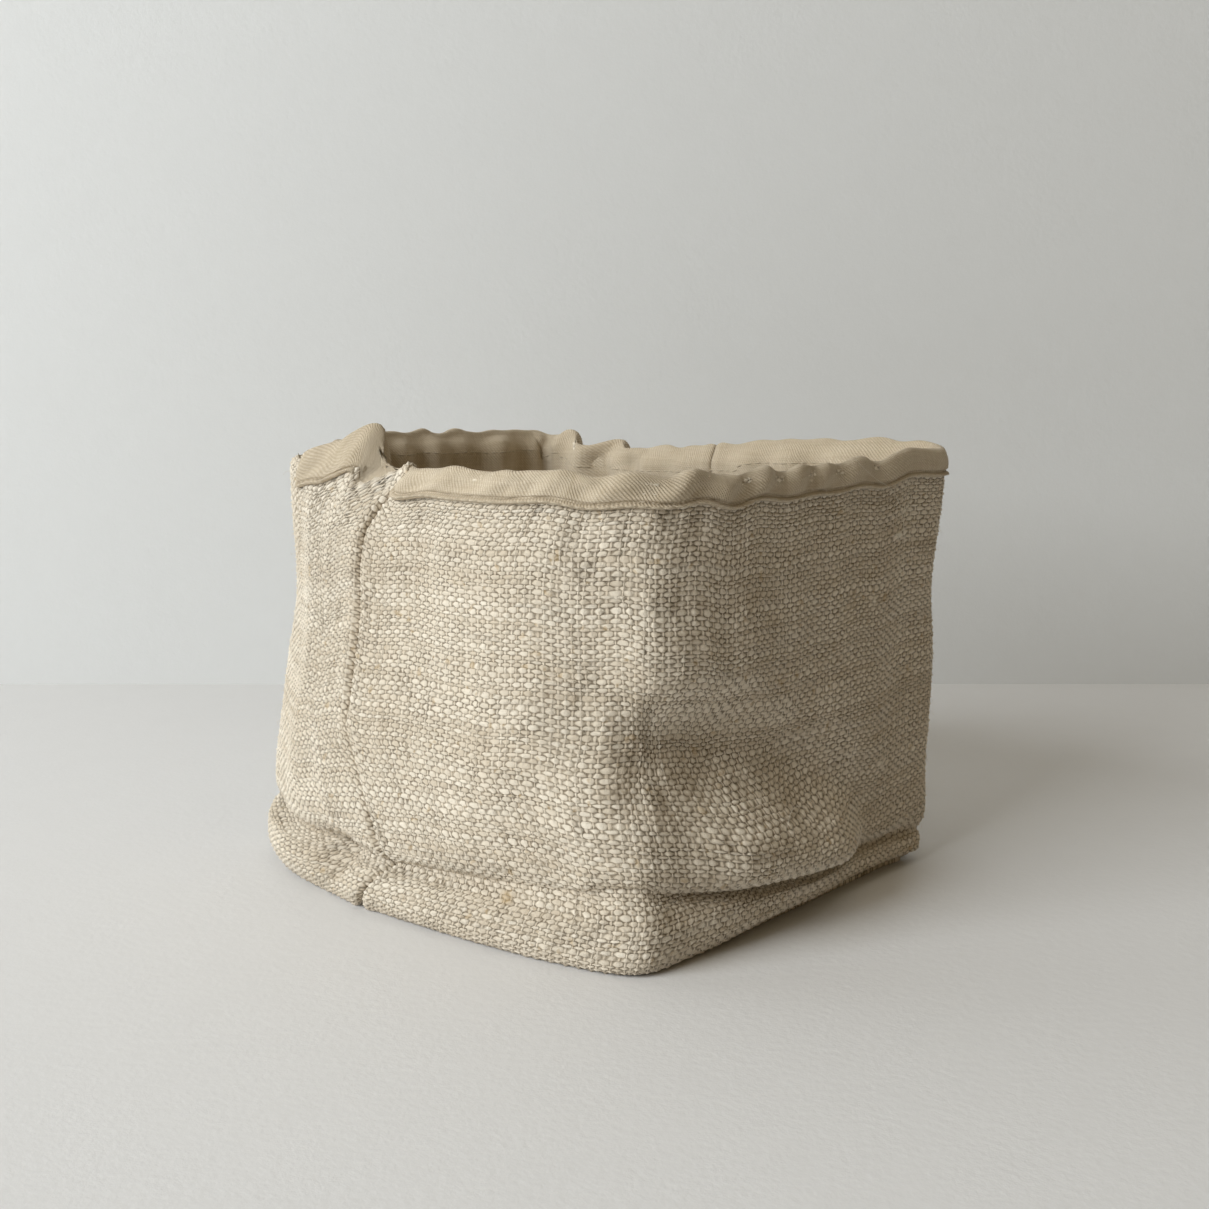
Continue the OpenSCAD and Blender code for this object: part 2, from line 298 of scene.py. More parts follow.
def arc_lengths(section):
    steps = np.linalg.norm(np.diff(section, axis=1), axis=2)
    return np.concatenate([np.zeros((len(section), 1)), np.cumsum(steps, axis=1)], axis=1)


def spread_rows(section, share, lengths=None):
    """The same sections with their points at shares of each column's length of cloth."""
    arc = arc_lengths(section)
    lengths = arc[:, -1] if lengths is None else lengths
    out = np.empty((len(section), len(share), 2))
    for c in range(len(section)):
        for k in range(2):
            out[c, :, k] = np.interp(share * lengths[c], arc[c], section[c, :, k])
    return out, share[None, :] * lengths[:, None]


# The left side seam is pulled back at mid height: how far, at each height.
SEAM_DRIFT_Z = [0, 6, 13, 24, 44, 84, 94, 101, 109]
SEAM_DRIFT = [-7, -4, 0, -6, -20, -22, -20, -15, -5]
DRIFT_REACH = 62


def drifted(s, z):
    """Where each part of the cloth lies round the bag."""
    away = from_place(s, place("left_seam"))
    return s + np.interp(z, SEAM_DRIFT_Z, SEAM_DRIFT) * bell(away, DRIFT_REACH)


def wall(s, section):
    """Points of a wall whose section is given at each place round the bag, as out and height."""
    z = section[..., 1]
    there = drifted(np.broadcast_to(s[:, None], z.shape), z)
    table, base_out, rim_out = (v.reshape(*z.shape, -1) for v in outline(there.ravel()))
    out = section[..., 0] + fold_depth(there, z)
    share = 1 - (1 - np.clip(z / table[..., 4], 0, 1)) ** LEAN_CURVE
    share = share[..., None]
    normal = (1 - share) * base_out + share * rim_out
    normal /= np.linalg.norm(normal, axis=2)[..., None]
    flat = (1 - share) * table[..., 0:2] + share * table[..., 2:4] + out[..., None] * normal
    return np.concatenate([flat, z[..., None]], axis=2)


def section_points(pairs):
    return np.stack([np.stack(np.broadcast_arrays(*p), axis=1) for p in pairs], axis=1)


def ear_rise(s):
    """How far the loose lining stands up over the hemp's rim at the ear."""
    away = from_place(s, place("ear", 1))
    return EAR_RISE * bell(away, np.where(away > 0, 8, 22))


def tucked(s):
    """Where the hemp's rim rolls over the lining and hides it, on both sides of the ear."""
    here = from_place(s, place("left_seam"))
    beside_seam = ease((here + 24) / 9) * ease((5 - here) / 9)
    return beside_seam + ease((here + 84) / 16) * ease((-42 - here) / 12)


def hemp_controls(s):
    """The hemp's section, up from its base edge: lip, crease, belly, waist, and over the rim."""
    table = outline(s)[0]
    rim_z, crease_z, deep, lip, belly = table[:, 4:9].T
    rim_z = rim_z - ear_rise(s)
    nought = np.zeros_like(s)
    curl = FRONT_CURL * bell(from_place(s, place("front_3", 12)), 56)
    over = tucked(s)
    return section_points([
        (nought - 6.0 - 3.0 * curl, nought + 0.1),
        (nought - 2.4 - 2.4 * curl, nought + 0.3 + 0.5 * curl),
        (nought - 0.4 - 1.1 * curl, nought + 2.0 + 1.0 * curl),
        (0.7 * lip, 0.35 * crease_z + 1.0 * curl),
        (lip, 0.58 * crease_z + 0.7 * curl),
        (0.5 * lip, 0.80 * crease_z + 0.3 * curl),
        (-0.55 * deep, 0.96 * crease_z),
        (-deep, crease_z + 0.9),
        (-0.45 * deep, crease_z + 1.6),
        (0.6 * belly, crease_z + 4.2),
        (belly, crease_z + 9.5),
        (0.9 * belly, crease_z + 18),
        (0.2 * belly, 0.5 * rim_z),
        (nought - 1.5, 0.68 * rim_z),
        (nought - 0.3, rim_z - 14),
        (nought, rim_z - 5),
        (nought, rim_z - RIM_ROLL),
        (nought - 0.4 * RIM_ROLL, rim_z - 0.25 * RIM_ROLL + 0.7 * over),
        (nought - 1.1 * RIM_ROLL - 0.9 * over, rim_z + 1.1 * over),
        (nought - 1.8 * RIM_ROLL - 2.2 * over, rim_z - 0.5 * RIM_ROLL + 0.6 * over),
        (nought - 1.9 * RIM_ROLL - 3.0 * over, rim_z - 2.6 * RIM_ROLL),
    ])


def lining_controls(s):
    """The lining's section, up the inside from its floor, over the rim and down outside."""
    table = outline(s)[0]
    rim_z, crease_z, deep, _, belly = table[:, 4:9].T
    nought = np.zeros_like(s)
    behind = LINING_BEHIND
    under = 2.6 * tucked(s)
    return section_points([
        (-deep - behind - 0.8, nought + 2.6),
        (-deep - behind - 0.2, nought + 4.5),
        (-deep - behind + 0.3, 0.6 * crease_z + 2),
        (-deep - behind + 0.3, crease_z + 1.2),
        (0.1 * belly - behind, crease_z + 7),
        (0.8 * belly - behind, crease_z + 15),
        (0.2 * belly - behind, 0.5 * rim_z),
        (-1.4 - behind, 0.68 * rim_z),
        (-0.2 - behind, rim_z - 14),
        (nought - LINING_AT_RIM - 0.3, rim_z - 5),
        (nought - LINING_AT_RIM, rim_z - 1.8),
        (nought - LINING_AT_RIM + 0.6, rim_z + 0.2),
        (nought - 1.2 - 0.5 * under, rim_z + 0.95 - 0.3 * under),
        (nought + 0.1 - under, rim_z + 0.4 - 0.3 * under),
        (nought + 0.75 - under, rim_z - 1.2),
        (nought + 0.9 - under, rim_z - 4),
        (nought + 0.85 - under, rim_z - 22),
    ])


def band_reach(s):
    """How far the lining comes down outside the rim."""
    return BAND_H * (1 - 0.45 * tucked(s)) + 0.6 * ear_rise(s)


# --- meshes -----------------------------------------------------------------------------------


def normals_of(grid):
    """Unit normals of a grid whose first axis runs round the bag and second runs up it."""
    n = np.cross(np.gradient(grid, axis=0), np.gradient(grid, axis=1))
    return n / np.maximum(np.linalg.norm(n, axis=2), 1e-9)[..., None]


def grid_quads(index, flipped):
    corners = [index[:-1, :-1], index[1:, :-1], index[1:, 1:], index[:-1, 1:]]
    quads = np.stack(corners, axis=-1).reshape(-1, 4)
    return quads[:, ::-1] if flipped else quads


def border_loops(index, flipped):
    """The four edges of a grid, each in the order in which its faces pass them."""
    loops = [index[:, 0], index[-1, :], index[::-1, -1], index[0, ::-1]]
    return [loop[::-1] for loop in loops] if flipped else loops


def cloth_shell(face_side, plain, uv, thickness, coarser, flipped=False, first=0):
    """A closed sheet: a detailed face side, a coarser back side, and a strip that joins their edges."""
    columns, rows = face_side.shape[:2]
    back = plain - normals_of(plain) * thickness * (-1 if flipped else 1)
    back = back[::coarser, ::coarser]
    index = first + np.arange(columns * rows).reshape(columns, rows)
    back_index = first + columns * rows + np.arange(back.shape[0] * back.shape[1]).reshape(back.shape[:2])
    faces = grid_quads(index, flipped).tolist() + grid_quads(back_index, not flipped).tolist()
    for fine, coarse in zip(border_loops(index, flipped), border_loops(back_index, flipped)):
        for t in range(len(fine) - 1):
            faces.append([int(fine[t + 1]), int(fine[t]), int(coarse[(t + coarser // 2) // coarser])])
        for m in range(len(coarse) - 1):
            faces.append([int(fine[m * coarser + (coarser + 1) // 2]), int(coarse[m]), int(coarse[m + 1])])
    points = np.concatenate([face_side.reshape(-1, 3), back.reshape(-1, 3)])
    uvs = np.concatenate([uv.reshape(-1, 2), uv[::coarser, ::coarser].reshape(-1, 2)])
    return points, faces, uvs


def mesh_object(name, shells, material, attributes=None):
    """One smooth mesh from closed sheets, with its cloth coordinates as a UV map."""
    points = np.concatenate([shell[0] for shell in shells])
    faces = [face for shell in shells for face in shell[1]]
    uvs = np.concatenate([shell[2] for shell in shells])
    mesh = bpy.data.meshes.new(name)
    mesh.from_pydata((points * MM).tolist(), [], faces)
    layer = mesh.uv_layers.new(name="cloth")
    loops = np.empty(len(mesh.loops), np.int32)
    mesh.loops.foreach_get("vertex_index", loops)
    layer.data.foreach_set("uv", uvs[loops].astype(np.float32).ravel())
    for key, values in (attributes or {}).items():
        attribute = mesh.attributes.new(key, "FLOAT", "POINT")
        full = np.zeros(len(points), np.float32)
        full[: len(values)] = values
        attribute.data.foreach_set("value", full)
    mesh.polygons.foreach_set("use_smooth", [True] * len(mesh.polygons))
    mesh.materials.append(material)
    mesh.update()
    return link(name, mesh)


def link(name, data):
    piece = bpy.data.objects.new(name, data)
    bpy.context.scene.collection.objects.link(piece)
    return piece


def smoothed(values, axis, reach):
    """Running mean, as a soft blur along one axis."""
    kernel = np.hanning(2 * reach + 3)[1:-1]
    kernel /= kernel.sum()
    before, after = np.take(values, [0] * reach, axis), np.take(values, [-1] * reach, axis)
    padded = np.concatenate([before, values, after], axis)
    return np.apply_along_axis(lambda v: np.convolve(v, kernel, "valid"), axis, padded)


PANELS = {"front": (0.0, place("right_seam")), "back": (place("right_seam"), ROUND)}

BACK_COARSER = 4
FLOOR_COLUMNS = 53
FLOOR_ROWS = 37
HEMP_FLOOR_OUT = -4.0
HEMP_FLOOR_Z = 0.12
LINING_FLOOR_Z = 2.3
LINING_COLUMNS = 257
LOWEST_Z = 0.03

# How far a yarn strays to the side, in grid steps, and over how many steps it does so
YARN_SWAY = 1.1
YARN_SWAY_MOST = 0.4
YARN_SWAY_REACH = 9
YARN_SEEDS = {"front": 31, "back": 47}

# Thick spots in the yarn: (station, mm past it, height, half length, half height, out, tone)
SLUBS = [
    ("far_corner", -22, 91, 2.2, 1.3, 0.7, 1.0),
    ("front_3", 12, 75, 1.1, 1.6, 0.7, 1.0),
    ("near_corner", -2, 84, 2.4, 1.0, 0.8, 0.7),
    ("front_4", -8, 31, 1.0, 1.4, 0.5, 0.9),
    ("left_front", 10, 13, 1.6, 1.3, 0.5, -1.0),
    ("left_seam", 12, 92, 2.6, 0.9, 0.2, -0.6),
    ("left_front", 4, 84, 3.0, 0.8, 0.2, -0.5),
    ("near_left", 2, 70, 2.2, 0.9, 0.2, -0.5),
    ("right_back", -10, 60, 1.6, 1.0, 0.5, 0.8),
    ("back_1", 8, 78, 2.0, 1.1, 0.5, 0.7),
    ("back_left", -16, 66, 1.6, 1.0, 0.4, -0.8),
]


def seam_groove(s, z):
    """How far the hemp dips where its panels meet at the side seams, with the allowances' ridges."""
    total = np.zeros(z.shape)
    for seam, fades in (("left_seam", True), ("right_seam", False)):
        away = from_place(s, place(seam))
        deep = np.ones(z.shape)
        if fades:
            deep = 1 - 0.75 * ease((54 - z) / 10) * ease((z - 22) / 4)
        total += -SEAM_DIP * deep * bell(away, 0.9) + SEAM_RIDGE * deep * bell(np.abs(away) - 2.6, 2.0)
    return total


def slub_values(s, z):
    out, tone = np.zeros(z.shape), np.zeros(z.shape)
    for name, offset, height, long, high, proud, shade in SLUBS:
        near = bell(from_place(s, place(name, offset)), long) * bell(z - height, high)
        out += proud * near
        tone += shade * near
    return out, tone


def hemp_wall(side, settled):
    """The face side of one hemp panel's wall at two grid steps a yarn, with its yarns in relief."""
    start, end = PANELS[side]
    columns, rows = 2 * PANEL_WARPS + 1, 2 * PANEL_WEFTS + 1
    rng = np.random.default_rng(YARN_SEEDS[side])
    widths = np.repeat(rng.uniform(0.8, 1.22, PANEL_WARPS), 2)
    heights = np.repeat(rng.uniform(0.78, 1.25, PANEL_WEFTS), 2)
    s = start + (end - start) * np.concatenate([[0], np.cumsum(widths)]) / widths.sum()
    share = np.concatenate([[0], np.cumsum(heights)]) / heights.sum()
    section, _ = spread_rows(smooth_section(hemp_controls(s)), share)
    grid = wall(s, section) + settled(s, share)
    spread_s = np.broadcast_to(s[:, None], grid.shape[:2])
    normal = normals_of(grid)
    slub_out, slub_tone = slub_values(spread_s, grid[..., 2])
    grid = grid + normal * (seam_groove(spread_s, grid[..., 2]) + slub_out)[..., None]
    plain = grid.copy()
    normal = normals_of(grid)

    across = np.gradient(grid, axis=0)
    along = np.gradient(grid, axis=1)
    inner = np.zeros(grid.shape[:2])
    inner[2:-2, 1:-1] = 1

    def stray(axis):
        drift = YARN_SWAY * smoothed(rng.normal(size=grid.shape[:2]), axis, YARN_SWAY_REACH)
        return (np.clip(drift, -YARN_SWAY_MOST, YARN_SWAY_MOST) * inner)[..., None]

    sway, sag = stray(1), stray(0)
    grid = grid + across * sway + along * sag

    # The thick weft stands up as beads; the thin warp crosses low between them.
    i, j = np.meshgrid(np.arange(columns), np.arange(rows), indexing="ij")
    even_i, even_j = i % 2 == 0, j % 2 == 0
    bead = even_i & even_j & ((i // 2 + j // 2) % 2 == 1)
    thick = 1 + 0.9 * smoothed(rng.normal(size=grid.shape[:2]), 0, 6)
    level = 0.85 * bead * thick * rng.uniform(0.75, 1.25, grid.shape[:2])
    level = level + 0.25 * (even_i & even_j & ~bead)
    level = level - 0.25 * (even_i & ~even_j) - 1.3 * (~even_i & ~even_j)
    grid = grid + normal * (YARN_RELIEF * level * inner)[..., None]
    grid[..., 2] = np.maximum(grid[..., 2], LOWEST_Z)
    uv = np.stack([i / 2, j / 2], axis=-1)
    return grid, plain, uv, slub_tone


def foot(s, out, z):
    """Places on the base, just inside the outline."""
    return wall(s, np.broadcast_to(np.array([out, z]), (len(s), 1, 2)).copy())[:, 0]


def base_patch(side, out, z):
    """Half of the base, between the outline and the seam along its middle."""
    if side == "front":
        near, far, start, end = place("near_corner"), place("far_corner"), 0.0, place("right_seam")
        level = -0.1
    else:
        near, far, start, end = place("back_right"), place("back_left"), place("right_seam"), ROUND
        level = 0.1
    a, b = np.linspace(0, 1, FLOOR_COLUMNS), np.linspace(0, 1, FLOOR_ROWS)
    edge = foot(near + (far - near) * a, out, z)
    left, right = foot(near + (start - near) * b, out, z), foot(far + (end - far) * b, out, z)
    left[-1, 1] = right[-1, 1] = level
    seam = left[-1] + (right[-1] - left[-1]) * a[:, None]
    a, b = a[:, None, None], b[None, :, None]
    grid = (1 - b) * edge[:, None] + b * seam[:, None] + (1 - a) * left[None] + a * right[None]
    grid -= (1 - a) * (1 - b) * edge[0] + a * (1 - b) * edge[-1] + (1 - a) * b * seam[0] + a * b * seam[-1]
    return grid


def cloth_uv(grid, pitch_u, pitch_v):
    return grid[..., :2] / np.array([pitch_u, pitch_v])


def hemp_panel(side, material, settled):
    grid, plain, uv, tone = hemp_wall(side, settled)
    wall_shell = cloth_shell(grid, plain, uv, OUTER_T, BACK_COARSER)
    floor = base_patch(side, HEMP_FLOOR_OUT, HEMP_FLOOR_Z)
    floor_uv = cloth_uv(floor, WARP_PITCH, WEFT_PITCH)
    floor_shell = cloth_shell(floor, floor, floor_uv, OUTER_T, 1, flipped=True, first=len(wall_shell[0]))
    piece = mesh_object(f"hemp_{side}_panel", [wall_shell, floor_shell], material, {"slub": tone.ravel()})
    return piece, plain


# Shares of the lining's height at which it has points: closer together on the band
LINING_SHARES = np.concatenate([np.linspace(0, 0.89, 106), np.linspace(0.89, 1, 65)[1:]])


def groove_line(from_edge):
    """The fine groove just above the welt of the band."""
    return bell(from_edge - STITCH_UP - 0.85, 0.36)


def lining_surface(s, settled):
    """The lining's visible side: its points, and how far each is from the band's sewn-down edge."""
    section = smooth_section(lining_controls(s))
    arc = arc_lengths(section)
    top = arc[np.arange(len(s)), np.argmax(section[..., 1], axis=1)]
    section, along = spread_rows(section, LINING_SHARES, top + band_reach(s))
    grid = wall(s, section)
    from_top = along - top[:, None]
    from_edge = (top + band_reach(s))[:, None] - along
    inside = ease((-0.8 - from_top) / 5)
    low = ease((grid[..., 2] - 4) / 14)
    spread = np.broadcast_to(s[:, None], along.shape)
    grid = grid + settled(s, LINING_SHARES)
    out = -normals_of(grid)

    # Hanging folds of the loose lining inside, and the soft pleats that lean across the side walls.
    hanging = ripple(spread, grid[..., 2], HANGING_WAVES) * (0.75 + 0.5 * ease(-from_top / 45))
    leaning = ripple(spread, grid[..., 2], LEANING_WAVES) * ease(-from_top / 25)
    lift = (LOOSE_OUT + HANGING_OUT * hanging + LEANING_OUT * leaning) * inside * low
    lift = np.where(lift < 0, 0.4 * lift, lift)

    # Puckers of the band between its topstitching and the rim, its groove and its welt.
    band = ease((from_top + 3.0) / 5) * ease((from_edge - STITCH_UP) / 3)
    pucker = ripple(spread, from_top, PUCKER_WAVES) + 0.15 * ripple(spread, from_top, SMALL_PUCKER_WAVES)
    shown = ease((from_top + 1) / 2)
    lift = lift + PUCKER_OUT * np.maximum(pucker, -0.9) * band
    lift = lift - shown * GROOVE_DEPTH * groove_line(from_edge)
    lift = lift + shown * WELT_OUT * bell(from_edge - STITCH_UP, 0.4)
    lift = lift - shown * EDGE_TURN * ease((0.4 - from_edge) / 0.4)
    for seam in ("left_seam", "right_seam"):
        away = from_place(spread, place(seam))
        lift = lift - 0.35 * bell(away, 0.8) + 0.3 * bell(np.abs(away) - 2.4, 1.6)
    return grid + out * lift[..., None], along, from_edge


def lining_panel(side, material, settled):
    start, end = PANELS[side]
    s = np.linspace(start, end, LINING_COLUMNS)
    grid, along, from_edge = lining_surface(s, settled)
    uv = np.stack([np.broadcast_to(s[:, None], along.shape), along], axis=-1) / TWILL_PITCH
    wall_shell = cloth_shell(grid, grid, uv, LINING_T, BACK_COARSER, flipped=True)
    deep = STATION_TABLE[:, 6].mean()
    floor = base_patch(side, -deep - LINING_BEHIND - 0.8, LINING_FLOOR_Z)
    away = np.hypot(floor[..., 0] / HALF_W, floor[..., 1] / HALF_D)
    floor[..., 2] += 0.5 * np.sin(floor[..., 0] / 9 + floor[..., 1] / 14) * (1 - ease(away * 1.1)) + 0.4
    floor_uv = cloth_uv(floor, TWILL_PITCH, TWILL_PITCH)
    floor_shell = cloth_shell(floor, floor, floor_uv, LINING_T, 1, first=len(wall_shell[0]))
    # Where the fine groove lies above the welt, as the mask for the painted shade in it
    attributes = {"groove": groove_line(from_edge).ravel()}
    return mesh_object(f"twill_{side}_lining", [wall_shell, floor_shell], material, attributes)


# --- cloth simulation -------------------------------------------------------------------------

SETTLE_COLUMNS = 150
SETTLE_ROWS = 34
SETTLE_FRAMES = 24
# Blender's cloth behaves as cloth does at about a metre, so the bag is settled ten times up.
SETTLE_SCALE = 10 * MM
CLOTH_FEEL = {
    "quality": 6, "mass": 0.4, "tension_stiffness": 12, "compression_stiffness": 12,
    "shear_stiffness": 4, "bending_stiffness": 1.5, "air_damping": 4,
    "vertex_group_mass": "held", "pin_stiffness": 1,
}
# For each cloth: the rows held at its foot and rim, its share of spare cloth, and the most it moves
HEMP_SETTLING = ((7, 5), 0.012, 1.3)
LINING_SETTLING = ((4, 8), 0.02, 1.0)


def upsampled(field, s, share):
    """Smooth values of a coarse field, periodic round the bag, at places s and shares of its height."""
    knots = np.linspace(0, ROUND, field.shape[0] + 1)
    around = hermite(field.reshape(field.shape[0], -1), knots, s).reshape(len(s), *field.shape[1:])
    at = share * (field.shape[1] - 1)
    i = np.clip(np.floor(at).astype(int), 0, field.shape[1] - 2)
    t = (at - i)[None, :, None]
    p = [around[:, np.clip(i + k, 0, field.shape[1] - 1)] for k in (-1, 0, 1, 2)]
    return 0.5 * (2 * p[1] + (p[2] - p[0]) * t + (2 * p[0] - 5 * p[1] + 4 * p[2] - p[3]) * t**2
                  + (3 * p[1] - p[0] - 3 * p[2] + p[3]) * t**3)


def settle(name, controls, held_rows, spare, most):
    """Hang a wall of slightly oversized cloth between its held edges, and give how far it moves."""
    s = np.linspace(0, ROUND, SETTLE_COLUMNS, endpoint=False)
    section, _ = spread_rows(smooth_section(controls(s)), np.linspace(0, 1, SETTLE_ROWS))
    start = wall(s, section)
    index = np.arange(SETTLE_COLUMNS * SETTLE_ROWS).reshape(SETTLE_COLUMNS, SETTLE_ROWS)
    faces = grid_quads(np.concatenate([index, index[:1]]), False)
    mesh = bpy.data.meshes.new(name)
    mesh.from_pydata((start.reshape(-1, 3) * SETTLE_SCALE).tolist(), [], faces.tolist())
    piece = link(name, mesh)
    held = piece.vertex_groups.new(name="held")
    low, high = held_rows
    for row in range(SETTLE_ROWS):
        weight = max(1 - ease(row / low), ease((row - SETTLE_ROWS + 1 + high) / high))
        held.add([int(v) for v in index[:, row]], float(weight), "REPLACE")
    cloth = piece.modifiers.new("hang", "CLOTH")
    for key, value in CLOTH_FEEL.items():
        setattr(cloth.settings, key, value)
    cloth.settings.shrink_min = -spare
    cloth.settings.shrink_max = -spare
    cloth.collision_settings.use_collision = False
    cloth.point_cache.frame_start = 1
    cloth.point_cache.frame_end = SETTLE_FRAMES
    scene = bpy.context.scene
    for step in range(1, SETTLE_FRAMES + 1):
        scene.frame_set(step)
    evaluated = piece.evaluated_get(bpy.context.evaluated_depsgraph_get())
    moved = np.empty(len(mesh.vertices) * 3)
    evaluated.data.vertices.foreach_get("co", moved)
    scene.frame_set(1)
    bpy.data.objects.remove(piece)
    move = moved.reshape(SETTLE_COLUMNS, SETTLE_ROWS, 3) / SETTLE_SCALE - start
    length = np.maximum(np.linalg.norm(move, axis=2, keepdims=True), 1e-9)
    move = move / length * most * np.tanh(length / most)
    print(f"{name}: moved up to {length.max():.1f} mm, mean {length.mean():.2f} mm")
    return lambda places, share: upsampled(move, places, share)


# --- stitches and loose fibres ----------------------------------------------------------------


def node_tree(name, inputs):
    """An empty Geometry Nodes tree with named inputs, and its input and output nodes."""
    tree = bpy.data.node_groups.new(name, "GeometryNodeTree")
    tree.interface.new_socket("Geometry", in_out="INPUT", socket_type="NodeSocketGeometry")
    for key, kind in inputs.items():
        tree.interface.new_socket(key, in_out="INPUT", socket_type=kind)
    tree.interface.new_socket("Geometry", in_out="OUTPUT", socket_type="NodeSocketGeometry")
    return tree, tree.nodes.new("NodeGroupInput"), tree.nodes.new("NodeGroupOutput")


def feed(tree, socket, value):
    """Link another node's output to a socket, or set a plain value on it."""
    if hasattr(value, "is_output"):
        tree.links.new(value, socket)
    else:
        socket.default_value = value


def add_node(tree, kind, inputs=None, **settings):
    """A node with its settings, and with values or links on its inputs."""
    node = tree.nodes.new(kind)
    for key, value in settings.items():
        setattr(node, key, value)
    for key, value in (inputs or {}).items():
        feed(tree, node.inputs[key], value)
    return node


def math_node(tree, operation, *values):
    return add_node(tree, "ShaderNodeMath", dict(enumerate(values)), operation=operation).outputs[0]


def plus(tree, first, second):
    return math_node(tree, "ADD", first, second)


def minus(tree, first, second):
    return math_node(tree, "SUBTRACT", first, second)


def times(tree, first, second):
    return math_node(tree, "MULTIPLY", first, second)


def sine(tree, angle):
    return math_node(tree, "SINE", angle)


def cosine(tree, angle):
    return math_node(tree, "COSINE", angle)


def xyz(tree, x=0.0, y=0.0, z=0.0):
    return add_node(tree, "ShaderNodeCombineXYZ", {"X": x, "Y": y, "Z": z}).outputs[0]


def random_vector(tree, low, high, seed):
    node = add_node(tree, "FunctionNodeRandomValue", {"Seed": seed}, data_type="FLOAT_VECTOR")
    sockets = [s for s in node.inputs if s.enabled]
    sockets[0].default_value, sockets[1].default_value = low, high
    return [s for s in node.outputs if s.enabled][0]


def strand_mesh(tree, bend, thickness, sides, steps):
    """A short bent strand with closed ends, as the shape that is repeated."""
    circle = add_node(tree, "GeometryNodeCurvePrimitiveCircle", {
        "Resolution": sides, "Radius": times(tree, thickness, 0.5),
    })
    curve = add_node(tree, "GeometryNodeCurveQuadraticBezier", {
        "Resolution": steps, "Start": bend[0], "Middle": bend[1], "End": bend[2],
    })
    sweep = add_node(tree, "GeometryNodeCurveToMesh", {
        "Fill Caps": True, "Curve": curve.outputs[0], "Profile Curve": circle.outputs[0],
    })
    return sweep.outputs[0]


def finish_tree(tree, group_in, group_out, points, strand, rotation, scale):
    """Put a strand on every point, as real faces of one material."""
    placed = add_node(tree, "GeometryNodeInstanceOnPoints", {
        "Points": points, "Instance": strand, "Rotation": rotation, "Scale": scale,
    })
    real = add_node(tree, "GeometryNodeRealizeInstances", {"Geometry": placed.outputs[0]})
    paint = add_node(tree, "GeometryNodeSetMaterial", {
        "Geometry": real.outputs[0], "Material": group_in.outputs["Material"],
    })
    tree.links.new(paint.outputs[0], group_out.inputs[0])


def named_vector(tree, name):
    node = add_node(tree, "GeometryNodeInputNamedAttribute", {"Name": name}, data_type="FLOAT_VECTOR")
    return [s for s in node.outputs if s.enabled][0]


def stitch_tree():
    """Stitches on the points of a seam line, each lying along the seam and dipping in at both ends."""
    tree, group_in, group_out = node_tree("stitch_row", {
        "Length": "NodeSocketFloat", "Thickness": "NodeSocketFloat", "Seed": "NodeSocketInt",
        "Material": "NodeSocketMaterial",
    })
    length, thick = group_in.outputs["Length"], group_in.outputs["Thickness"]
    half = times(tree, length, 0.5)
    back = times(tree, length, -0.5)
    sunk = times(tree, thick, -0.9)
    proud = times(tree, thick, 1.3)
    bend = [xyz(tree, back, 0.0, sunk), xyz(tree, 0.0, 0.0, proud), xyz(tree, half, 0.0, sunk)]
    strand = strand_mesh(tree, bend, thick, 6, 5)
    axes = {0: named_vector(tree, "along"), 1: named_vector(tree, "out")}
    turn = add_node(tree, "FunctionNodeAxesToRotation", axes, primary_axis="X", secondary_axis="Z")
    scale = random_vector(tree, (0.9, 0.9, 0.85), (1.08, 1.1, 1.15), group_in.outputs["Seed"])
    finish_tree(tree, group_in, group_out, group_in.outputs["Geometry"], strand, turn.outputs[0], scale)
    return tree


def fibre_tree():
    """Loose fibres scattered over cloth: each starts in the weave, stands off it and bends over."""
    tree, group_in, group_out = node_tree("loose_fibres", {
        "Density": "NodeSocketFloat", "Length": "NodeSocketFloat", "Thickness": "NodeSocketFloat",
        "Seed": "NodeSocketInt", "Material": "NodeSocketMaterial",
    })
    length = group_in.outputs["Length"]
    bend = [
        xyz(tree, 0.0, 0.0, times(tree, length, -0.08)),
        xyz(tree, times(tree, length, 0.35), 0.0, times(tree, length, 0.62)),
        xyz(tree, length, times(tree, length, 0.25), times(tree, length, 0.12)),
    ]
    strand = strand_mesh(tree, bend, group_in.outputs["Thickness"], 3, 4)
    seed = group_in.outputs["Seed"]
    scatter = add_node(tree, "GeometryNodeDistributePointsOnFaces", {
        "Mesh": group_in.outputs["Geometry"], "Density": group_in.outputs["Density"], "Seed": seed,
    })
    wild = random_vector(tree, (-0.5, -0.9, 0), (0.5, 0.5, 6.28), seed)
    spin = add_node(tree, "FunctionNodeEulerToRotation", {0: wild})
    turn = add_node(tree, "FunctionNodeRotateRotation", {
        "Rotation": scatter.outputs["Rotation"], "Rotate By": spin.outputs[0],
    }, rotation_space="LOCAL")
    scale = random_vector(tree, (0.35, 0.35, 0.2), (1.3, 1.3, 1.3), seed)
    finish_tree(tree, group_in, group_out, scatter.outputs["Points"], strand, turn.outputs[0], scale)
    return tree


def grown(name, base_mesh, tree, values):
    """Run a Geometry Nodes tree over a mesh and keep the result as a plain mesh object."""
    base = link(name + "_base", base_mesh)
    modifier = base.modifiers.new("grow", "NODES")
    modifier.node_group = tree
    for item in tree.interface.items_tree:
        if item.in_out == "INPUT" and item.name in values:
            modifier[item.identifier] = values[item.name]
    mesh = bpy.data.meshes.new_from_object(base.evaluated_get(bpy.context.evaluated_depsgraph_get()))
    mesh.name = name
    base.modifiers.remove(modifier)
    bpy.data.objects.remove(base)
    mesh.polygons.foreach_set("use_smooth", [True] * len(mesh.polygons))
    return link(name, mesh)


